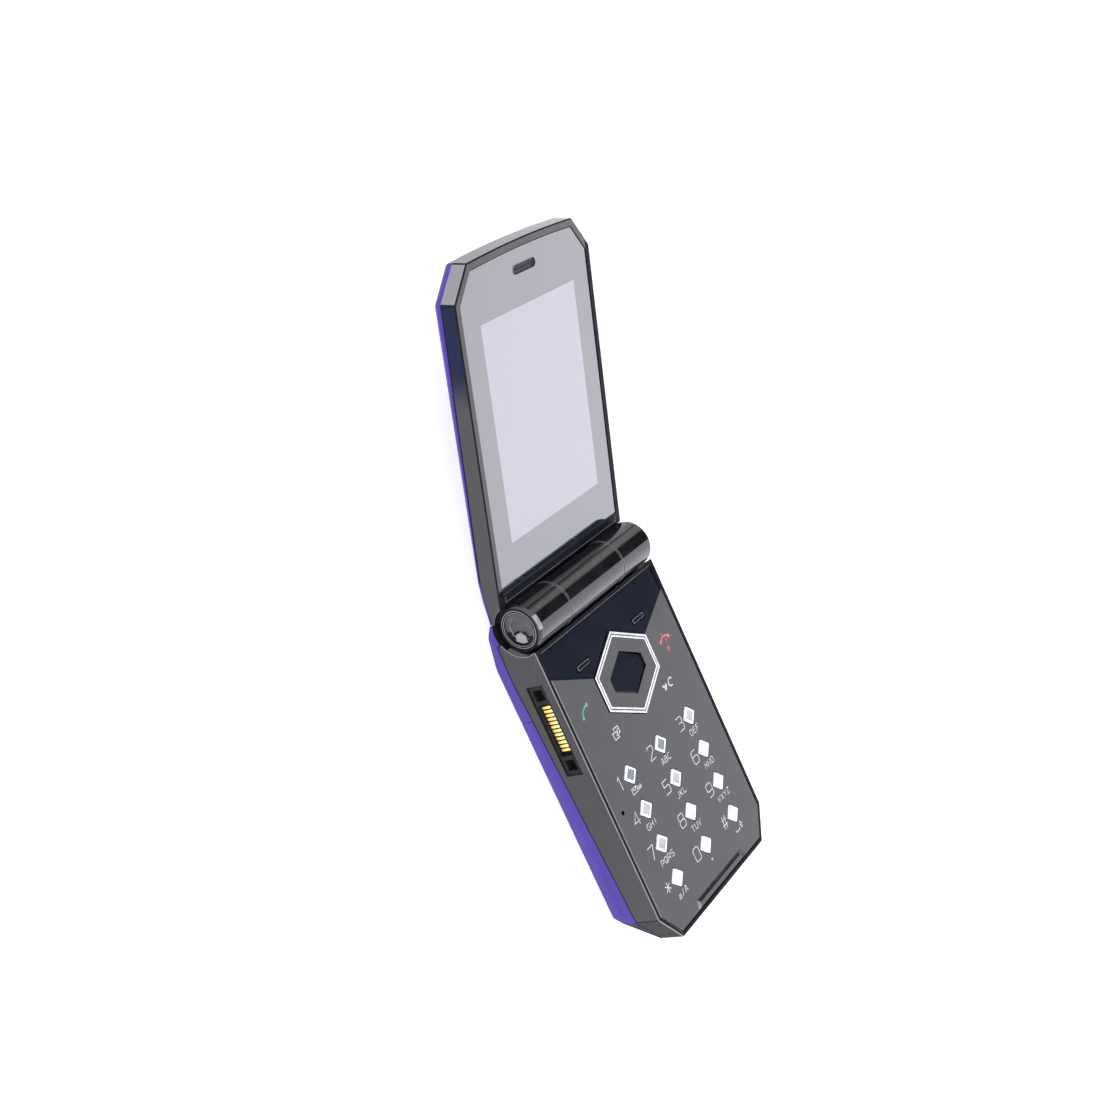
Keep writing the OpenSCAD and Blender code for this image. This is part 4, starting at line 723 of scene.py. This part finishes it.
def hexagon(wide, high, half):
    return [(wide, half), (0, high), (-wide, half), (-wide, -half), (0, -high), (wide, -half)]


trim = bmesh.new()
hexOutline = hexagon(trimSet["halfWide"], trimSet["halfHigh"], trimSet["halfSide"])
for outer, inner in trimSet["frames"]:
    root, proud, ease = trimSet["root"], trimSet["proud"], trimSet["ease"]
    stages = [(outer, root), (outer, proud - ease), (outer + ease, proud), (inner - ease, proud), (inner, proud - ease),
              (inner, root)]
    addLoft(trim, [lift(inset(hexOutline, step), trimSet["top"] + height, (0, trimSet["centreY"]))
                   for step, height in stages], joined=True)
keepPiece("navTrim", trim, ["silverTrim"], "nav_ring")
print("flip phone: bars and trim set")

# printed digits, letters and signs as thin strokes on a unit box
strokes = {
    "1": [[(0.2, 0.78), (0.55, 1), (0.55, 0)]],
    "2": [[(0.02, 0.86), (0.16, 1), (0.84, 1), (0.98, 0.86), (0.98, 0.62), (0, 0.1), (0, 0), (1, 0)]],
    "3": [[(0.02, 1), (0.84, 1), (0.98, 0.88), (0.98, 0.66), (0.84, 0.54), (0.3, 0.54)],
          [(0.84, 0.54), (1, 0.42), (1, 0.13), (0.84, 0), (0, 0)]],
    "4": [[(0.74, 0), (0.74, 1), (0, 0.28), (1, 0.28)]],
    "5": [[(0.95, 1), (0.08, 1), (0.08, 0.58), (0.84, 0.58), (1, 0.45), (1, 0.13), (0.84, 0), (0.02, 0)]],
    "6": [[(0.9, 1), (0.2, 1), (0, 0.84), (0, 0.14), (0.16, 0), (0.84, 0), (1, 0.14), (1, 0.44), (0.84, 0.58),
           (0.02, 0.58)]],
    "7": [[(0, 1), (1, 1), (0.38, 0)]],
    "8": [[(0.16, 0.54), (0.84, 0.54), (0.95, 0.66), (0.95, 0.88), (0.82, 1), (0.18, 1), (0.05, 0.88), (0.05, 0.66),
           (0.16, 0.54)], [(0.16, 0.54), (0, 0.42), (0, 0.13), (0.16, 0), (0.84, 0), (1, 0.13), (1, 0.42),
                           (0.84, 0.54)]],
    "9": [[(0.1, 0), (0.8, 0), (1, 0.16), (1, 0.86), (0.84, 1), (0.16, 1), (0, 0.86), (0, 0.56), (0.16, 0.42),
           (0.98, 0.42)]],
    "0": [[(0.5, 0), (0.84, 0), (1, 0.14), (1, 0.86), (0.84, 1), (0.16, 1), (0, 0.86), (0, 0.14), (0.16, 0),
           (0.5, 0)]],
    "*": [[(0.5, 0.1), (0.5, 0.9)], [(0.08, 0.28), (0.92, 0.72)], [(0.08, 0.72), (0.92, 0.28)]],
    "#": [[(0.22, 0.0), (0.36, 1.0)], [(0.66, 0.0), (0.8, 1.0)], [(0.0, 0.32), (0.94, 0.32)],
          [(0.06, 0.7), (1.0, 0.7)]],
    "A": [[(0, 0), (0.36, 1), (0.64, 1), (1, 0)], [(0.14, 0.36), (0.86, 0.36)]],
    "B": [[(0, 0), (0, 1), (0.78, 1), (0.92, 0.86), (0.92, 0.66), (0.78, 0.53), (0, 0.53)],
          [(0.78, 0.53), (1, 0.4), (1, 0.13), (0.84, 0), (0, 0)]],
    "C": [[(1, 1), (0.22, 1), (0, 0.8), (0, 0.2), (0.22, 0), (1, 0)]],
    "D": [[(0, 0), (0, 1), (0.72, 1), (1, 0.74), (1, 0.26), (0.72, 0), (0, 0)]],
    "E": [[(1, 1), (0, 1), (0, 0), (1, 0)], [(0, 0.52), (0.84, 0.52)]],
    "F": [[(1, 1), (0, 1), (0, 0)], [(0, 0.52), (0.84, 0.52)]],
    "G": [[(1, 1), (0.22, 1), (0, 0.8), (0, 0.2), (0.22, 0), (1, 0), (1, 0.5), (0.55, 0.5)]],
    "H": [[(0, 0), (0, 1)], [(1, 0), (1, 1)], [(0, 0.52), (1, 0.52)]],
    "I": [[(0.5, 0), (0.5, 1)]],
    "J": [[(0.9, 1), (0.9, 0.2), (0.7, 0), (0.1, 0)]],
    "K": [[(0, 0), (0, 1)], [(1, 1), (0.12, 0.5), (1, 0)]],
    "L": [[(0, 1), (0, 0), (1, 0)]],
    "M": [[(0, 0), (0, 1), (0.5, 0.42), (1, 1), (1, 0)]],
    "N": [[(0, 0), (0, 1), (1, 0), (1, 1)]],
    "O": [[(0.5, 0), (0.8, 0), (1, 0.2), (1, 0.8), (0.8, 1), (0.2, 1), (0, 0.8), (0, 0.2), (0.2, 0), (0.5, 0)]],
    "P": [[(0, 0), (0, 1), (0.82, 1), (1, 0.86), (1, 0.58), (0.82, 0.44), (0, 0.44)]],
    "S": [[(1, 1), (0.16, 1), (0, 0.88), (0, 0.64), (0.16, 0.52), (0.84, 0.52), (1, 0.4), (1, 0.12), (0.84, 0),
           (0, 0)]],
    "T": [[(0.5, 0), (0.5, 1)], [(0, 1), (1, 1)]],
    "U": [[(0, 1), (0, 0.2), (0.2, 0), (0.8, 0), (1, 0.2), (1, 1)]],
    "V": [[(0, 1), (0.5, 0), (1, 1)]],
    "W": [[(0, 1), (0.24, 0), (0.5, 0.65), (0.76, 0), (1, 1)]],
    "X": [[(0, 0), (1, 1)], [(0, 1), (1, 0)]],
    "Y": [[(0, 1), (0.5, 0.5), (1, 1)], [(0.5, 0.5), (0.5, 0)]],
    "Z": [[(0, 1), (1, 1), (0, 0), (1, 0)]],
    "a": [[(0.1, 0.66), (0.8, 0.66), (0.95, 0.54), (0.95, 0), (0.15, 0), (0, 0.1), (0, 0.26), (0.15, 0.36),
           (0.95, 0.36)]],
    "/": [[(0.15, -0.1), (0.85, 1.05)]],
    "envelope": [[(0, 0), (1, 0), (1, 1), (0, 1), (0, 0)], [(0, 1), (0.5, 0.45), (1, 1)]],
    "loops": [[(0.1, 0), (0.9, 0)], [(0.25, 0), (0.42, 0.3), (0.25, 0.6), (0.05, 0.3), (0.25, 0)],
              [(0.75, 0), (0.95, 0.3), (0.75, 0.6), (0.58, 0.3), (0.75, 0)]],
    "space": [[(0, 0.4), (0.1, 0), (0.9, 0), (1, 0.4)]],
    "shift": [[(0.5, 1), (0.05, 0.5), (0.3, 0.5), (0.3, 0), (0.7, 0), (0.7, 0.5), (0.95, 0.5), (0.5, 1)]],
    "dot": [[(0.5, 0), (0.5, 0.3)]],
    "ring": [[(0.5, 0), (0.85, 0.15), (1, 0.5), (0.85, 0.85), (0.5, 1), (0.15, 0.85), (0, 0.5), (0.15, 0.15),
              (0.5, 0)], [(0.5, 0.45), (0.5, 1.1)]],
}
strokes["Q"] = strokes["O"] + [[(0.6, 0.3), (1.05, -0.08)]]
strokes["R"] = strokes["P"] + [[(0.5, 0.44), (1, 0)]]
# call, end, clear and menu signs: width and path of each stroke on the plate
signLines = {
    "call": [(0.36, [(-14.9, 17.42), (-15.5, 17.33), (-16.36, 16.95), (-16.95, 16.4), (-17.2, 15.8)]),
             (0.72, [(-14.55, 17.4), (-15.15, 17.4)]), (0.68, [(-17.28, 15.35), (-17.1, 15.95)])],
    "end": [(0.42, [(16.4, 16.8), (15.9, 17.12), (14.96, 17.3), (14.1, 17.13), (13.5, 16.7)]),
            (0.74, [(16.75, 16.4), (16.25, 17.0)]), (0.66, [(13.15, 16.35), (13.65, 16.85)]),
            (0.2, [(14.35, 18.15), (14.83, 17.45)]), (0.2, [(15.08, 16.73), (15.44, 16.16)])],
    "clear": [(0.28, [(11.84, 9.4), (11.35, 9.8), (10.75, 9.66), (10.3, 9.15), (10.28, 8.6), (10.7, 8.22),
                      (11.4, 8.2)]),
              (0.5, [(8.15, 9.45), (8.6, 8.95)]), (0.6, [(8.62, 8.3), (9.4, 9.3)])],
    "menu": [(0.2, [(-11.65, 9.35), (-10.3, 9.22), (-10.1, 7.98), (-11.5, 7.95), (-11.65, 9.35)]),
             (0.2, [(-10.95, 9.6), (-10.9, 10.02), (-9.4, 9.96), (-9.32, 8.7), (-9.9, 8.62)]),
             (0.18, [(-10.75, 8.45), (-10.3, 8.8), (-9.75, 9.6)])],
}
printSet = {"low": plateTop - 0.02, "high": plateTop + 0.012, "step": 0.004, "digit": (1.95, 2.7), "digitLeft": -3.6,
            "digitLine": 0.18, "letter": (0.84, 1.18), "letterStep": 1.26, "letterDown": -3.15, "letterLeft": -0.15,
            "letterLine": 0.14, "endRing": ((14.85, 14.55), (0.85, 0.85), 0.2)}
letterRows = {"key_2": "ABC", "key_3": "DEF", "key_4": "GHI", "key_5": "JKL", "key_6": "MNO", "key_7": "PQRS",
              "key_8": "TUV", "key_9": "WXYZ", "key_star": "a/A"}


def addRibbon(shape, path, width, rise=0.0):
    rings = []
    high = printSet["high"] + rise
    for i, here in enumerate(path):
        come = here - path[i - 1] if i else path[1] - here
        go = path[i + 1] - here if i < len(path) - 1 else come
        if path[0] == path[-1] and i in (0, len(path) - 1):
            come, go = path[-1] - path[-2], path[1] - path[0]
        come, go = come.normalized(), go.normalized()
        first, second = Vector((-come.y, come.x)), Vector((-go.y, go.x))
        side = (first + second) * (width / 2 / max(0.4, 1 + first.dot(second)))
        left, right = here + side, here - side
        rings.append([(*right, printSet["low"]), (*left, printSet["low"]), (*left, high), (*right, high)])
    addLoft(shape, rings)


def addSign(shape, sign, spot, size, width):
    for i, stroke in enumerate(strokes[sign]):
        path = [Vector(((x - 0.5) * size[0] + spot[0], (y - 0.5) * size[1] + spot[1])) for x, y in stroke]
        addRibbon(shape, path, width, i * printSet["step"])


whitePrint = bmesh.new()
for keyName in keyNames:
    centre = middle(keyName)
    digit = {"star": "*", "hash": "#"}.get(keyName[4:], keyName[4:])
    addSign(whitePrint, digit, (centre.x + printSet["digitLeft"], centre.y), printSet["digit"], printSet["digitLine"])
    row = letterRows.get(keyName, "")
    for i, letter in enumerate(row):
        across = centre.x + printSet["letterLeft"] + (i - (len(row) - 1) / 2) * printSet["letterStep"]
        addSign(whitePrint, letter, (across, centre.y + printSet["letterDown"]), printSet["letter"],
                printSet["letterLine"])
# small signs under 1, 0 and the hash key, then the signs with strokes of their own
signRows = [("key_1", "envelope", (-0.6, -3.1), (1.7, 1.15), 0.16), ("key_1", "loops", (1.1, -3.0), (1.4, 1.1), 0.15),
            ("key_0", "dot", (0.0, -2.9), (0.6, 1.3), 0.42), ("key_hash", "space", (-0.6, -3.3), (1.5, 0.9), 0.2),
            ("key_hash", "shift", (1.1, -3.1), (1.0, 1.3), 0.16)]
for keyName, sign, offset, size, width in signRows:
    centre = middle(keyName)
    addSign(whitePrint, sign, (centre.x + offset[0], centre.y + offset[1]), size, width)
greenPrint, redPrint = bmesh.new(), bmesh.new()
for sheet, name in ((greenPrint, "call"), (redPrint, "end"), (whitePrint, "clear"), (whitePrint, "menu")):
    for i, (width, path) in enumerate(signLines[name]):
        addRibbon(sheet, [Vector(point) for point in path], width, i * printSet["step"])
addSign(redPrint, "ring", *printSet["endRing"])
keepPiece("keyPrint", whitePrint, ["printWhite"], "base")
keepPiece("callPrint", greenPrint, ["printGreen"], "base")
keepPiece("endPrint", redPrint, ["printRed"], "base")
print("flip phone: print laid on the keypad")

# left hinge cap: stepped lip round a faceted dish; pale lip rings are painted highlights, black rings and the lower
# dish painted shade, and the pale gleam a painted glint
# each ring has its radius, its depth behind the face, and its sides where it is faceted
capSet = {"x": -20.7, "count": 48, "shade": -0.9, "finish": [0, 1, 1, 3, 3, 3, 1, 2, 2, 1, 2], "smooth": 30,
          "rings": ((3.88, 1.5, 0), (3.88, 0.1, 0), (3.78, 0, 0), (3.64, 0, 0), (3.58, 0.16, 0), (3.46, 0.16, 0),
                    (3.4, 0.02, 0), (3.3, 0.06, 0), (3.18, 0.4, 0), (2.5, 0.52, 8), (2.4, 0.66, 8), (0.9, 0.85, 0)),
          "gleam": ((-0.75, -0.1), (-1.3, 1.0), (-2.45, 1.4), (-2.95, 0.3), (-2.7, -1.2), (-1.5, -1.25)),
          "gleamHeart": (-1.95, 0.05), "gleamStages": ((0.75, 1.0), (0.42, 1.0), (0.34, 0.88))}


def capRing(radius, depth, sides):
    points = []
    for i in range(capSet["count"]):
        turn = 2 * math.pi * i / capSet["count"]
        wedge = math.pi / sides if sides else 1
        reach = radius * (math.cos(wedge) / math.cos(turn % (2 * wedge) - wedge) if sides else 1)
        points.append((capSet["x"] + depth, reach * math.cos(turn), reach * math.sin(turn)))
    return points


cap = bmesh.new()
addLoft(cap, [capRing(*ring) for ring in capSet["rings"]], capSet["finish"])
for dishFace in cap.faces:
    if dishFace.material_index == 2 and dishFace.calc_center_median().y < capSet["shade"] * mm:
        dishFace.material_index = 3
keepPiece("hingeCap", cap, ["blackGloss", "paleHighlightAndTrim", "capDish", "paintedShadeBlack"], "lid", ["hinge_cap_left"],
          lidPlace, capSet["smooth"])
gleam = bmesh.new()
heartS, heartN = capSet["gleamHeart"]
addLoft(gleam, [[(capSet["x"] + depth, heartS + (s - heartS) * grow, heartN + (n - heartN) * grow)
                 for s, n in capSet["gleam"]] for depth, grow in capSet["gleamStages"]])
keepPiece("capGleam", gleam, ["capGleam"], "lid", (), lidPlace)

# thin pale lines as painted highlights along the knuckle joints, the neck and the tray under the glass, and a tab on
# the left knuckle
lineSet = {"ringX": (9.5, 9.7), "lidRingX": (9.95, 10.12), "ringR": (4.7, 4.79), "tabTurns": (46, 82),
           "tab": ((-19.6, 4.6), (-19.6, 4.79), (-20.1, 4.79), (-20.35, 4.745), (-20.6, 4.58), (-20.55, 4.4)),
           "neckX": 20.3, "neckY": (30.81, 30.92), "neckZ": (11.5, 11.62), "ribX": (9.55, 9.68), "ribY": (30.8, 31.7),
           "ribZ": (9.9, 10.3), "trayX": (19.78, 19.9), "trayS": (4.75, 4.87), "trayUp": 5.9, "trayN": (-2.59, -2.51),
           "arcTurns": (157, 249), "arcR": (4.98, 5.11), "arcX": (21.62, 21.78)}


def barrelRing(near, far, count=72):
    low, high = lineSet["ringR"]
    ease = (far - near) / 4
    stages = ((near, low), (near + ease, high), (far - ease, high), (far, low))
    return [[(x, *point) for point in circle(radius, count)] for x, radius in stages]


def sweep(profile, turns, count):
    start, end = [math.radians(turn) for turn in turns]
    angles = [start + (end - start) * i / count for i in range(count + 1)]
    return [[(x, radius * math.cos(turn), radius * math.sin(turn)) for x, radius in profile] for turn in angles]


def atHinge(rings):
    return [[Vector(point) + hingeSpot for point in ring] for ring in rings]


def addBar(shape, low, high, ease=0.03):
    (x0, y0, z0), (x1, y1, z1) = low, high
    outline = [(x0, y0), (x1, y0), (x1, y1), (x0, y1)]
    addLoft(shape, [lift(outline, z0), lift(outline, z1 - ease), lift(inset(outline, ease), z1)])


baseLines = bmesh.new()
lidLines = bmesh.new()
trayIn, trayOut = lineSet["trayX"]
for side in (-1, 1):
    addLoft(baseLines, atHinge(barrelRing(*[side * x for x in lineSet["ringX"]])), joined=True)
    addLoft(lidLines, barrelRing(*[side * x for x in lineSet["lidRingX"]]), joined=True)
    (low, high), (near, far) = lineSet["arcR"], [side * x for x in lineSet["arcX"]]
    addLoft(baseLines, atHinge(sweep(((near, low), (far, low), (far, high), (near, high)), lineSet["arcTurns"], 24)))
    near, far = sorted(side * x for x in lineSet["ribX"])
    addBar(baseLines, *zip((near, far), lineSet["ribY"], lineSet["ribZ"]))
    near, far = sorted((side * trayIn, side * trayOut))
    addBar(lidLines, *zip((near, far), (lineSet["trayS"][1], lineSet["trayUp"]), lineSet["trayN"]))
addBar(baseLines, *zip((-lineSet["neckX"], lineSet["neckX"]), lineSet["neckY"], lineSet["neckZ"]))
keepPiece("hingeLines", baseLines, ["paleHighlightAndTrim"], "base")
addBar(lidLines, *zip((-trayOut, trayOut), lineSet["trayS"], lineSet["trayN"]))
addLoft(lidLines, sweep(lineSet["tab"], lineSet["tabTurns"], 6), 1)
keepPiece("lidLines", lidLines, ["paleHighlightAndTrim", "capGleam"], "lid", (), lidPlace)

# pale rim round the earpiece slot
earSet = {"s": 62.0, "half": 2.8, "radius": 1.0, "line": 0.14, "low": -2.8, "high": -2.66}


def stadium(radius, steps=12):
    points = []
    for side, start in ((1, -90), (-1, 90)):
        for i in range(steps + 1):
            turn = math.radians(start + 180 * i / steps)
            points.append((side * earSet["half"] + radius * math.cos(turn), earSet["s"] + radius * math.sin(turn)))
    return points


earRim = bmesh.new()
addLoft(earRim, [lift(stadium(radius), height) for radius, height in (
    (earSet["radius"], earSet["low"]), (earSet["radius"], earSet["high"]),
    (earSet["radius"] - earSet["line"], earSet["high"]), (earSet["radius"] - earSet["line"], earSet["low"]))],
        joined=True)
keepPiece("earRim", earRim, ["paleHighlightAndTrim"], "lid", (), lidPlace)

# side connector contacts, repeated along the port
contactSet = {"count": 12, "pitch": 0.81, "half": 0.25, "low": 6.45, "high": 9.25, "front": -20.7, "back": -20.32,
              "bulge": 0.05, "steps": 7, "round": 0.06, "flat": 0.6}


def lineTree():
    tree = bpy.data.node_groups.new("contactRow", "GeometryNodeTree")
    face = tree.interface
    sockets = {"shape": face.new_socket("Geometry", in_out="INPUT", socket_type="NodeSocketGeometry"),
               "count": face.new_socket("Count", in_out="INPUT", socket_type="NodeSocketInt"),
               "pitch": face.new_socket("Pitch", in_out="INPUT", socket_type="NodeSocketFloat"),
               "finish": face.new_socket("Finish", in_out="INPUT", socket_type="NodeSocketMaterial")}
    face.new_socket("Geometry", in_out="OUTPUT", socket_type="NodeSocketGeometry")
    given = tree.nodes.new("NodeGroupInput")
    length = times(tree, times(tree, given.outputs["Count"], 1.0, "SUBTRACT"), given.outputs["Pitch"])
    start = times(tree, length, -0.5)
    line = addNode(tree, "GeometryNodeMeshLine", {
        "Count": given.outputs["Count"],
        "Start Location": addNode(tree, "ShaderNodeCombineXYZ", {"Y": start}).outputs[0],
        "Offset": addNode(tree, "ShaderNodeCombineXYZ", {"Y": given.outputs["Pitch"]}).outputs[0]})
    row = addNode(tree, "GeometryNodeInstanceOnPoints", {"Points": line.outputs[0],
                                                         "Instance": given.outputs["Geometry"]})
    whole = addNode(tree, "GeometryNodeRealizeInstances", {0: row.outputs[0]})
    done = addNode(tree, "GeometryNodeSetMaterial", {"Geometry": whole.outputs[0],
                                                     "Material": given.outputs["Finish"]})
    addNode(tree, "NodeGroupOutput", {0: done.outputs[0]})
    return tree, sockets


def growPiece(name, seed, tree, sockets, values, body, stands):
    bmesh.ops.recalc_face_normals(seed, faces=seed.faces)
    mesh = bpy.data.meshes.new(name + "Seed")
    seed.to_mesh(mesh)
    seed.free()
    piece = setOut(name, mesh, body, stands)
    grow = piece.modifiers.new("grow", "NODES")
    grow.node_group = tree
    for key, value in values.items():
        grow[sockets[key].identifier] = value
    settle(piece, grow)


blade = bmesh.new()
bladeRings = []
pinY = middle("connector_pins").y
half, back = contactSet["half"], contactSet["back"]
flatHalf = half * contactSet["flat"]
for step in range(contactSet["steps"] + 1):
    part = step / contactSet["steps"]
    height = contactSet["low"] + (contactSet["high"] - contactSet["low"]) * part
    bow = contactSet["front"] + contactSet["bulge"] * (2 * part - 1) ** 2
    shoulder = bow + contactSet["round"]
    bladeRings.append([(x, pinY + y, height) for x, y in (
        (back, -half), (back, half), (shoulder, half), (bow, flatHalf), (bow, -flatHalf), (shoulder, -half))])
addLoft(blade, bladeRings)
contactTree, contactSockets = lineTree()
growPiece("portContacts", blade, contactTree, contactSockets,
          {"count": contactSet["count"], "pitch": contactSet["pitch"] * mm, "finish": finishes["contactGold"]},
          "base", ["connector_pins"])
print("flip phone: connector and cap done")

# finishes of the CAD pieces that stay as they are
slotFinish = {"black_gloss": "blackGloss", "key_black": "blackGloss", "violet_shell": "violetGloss",
              "glass_front": "screenGlass", "display": "pipFace", "pip_white": "pipWhite",
              "rubber_mat": "rubberGrey", "dome_steel": "domeSteel", "board": "boardGreen", "can_steel": "canSteel",
              "cell": "cellWrap", "gold_contact": "goldPlate", "black_matte": "blackMatte", "steel": "turnedSteel",
              "acetal": "acetal", "flex_film": "flexFilm", "lens": "lensGlass", "mesh": "grille"}
for subpart in frame["record"]["subparts"]:
    cadNode = nodes[subpart["node"]]
    cadNode.data.materials.clear()
    cadNode.data.materials.append(finishes[slotFinish[subpart["material_slot"]]])
print("flip phone: CAD pieces finished")
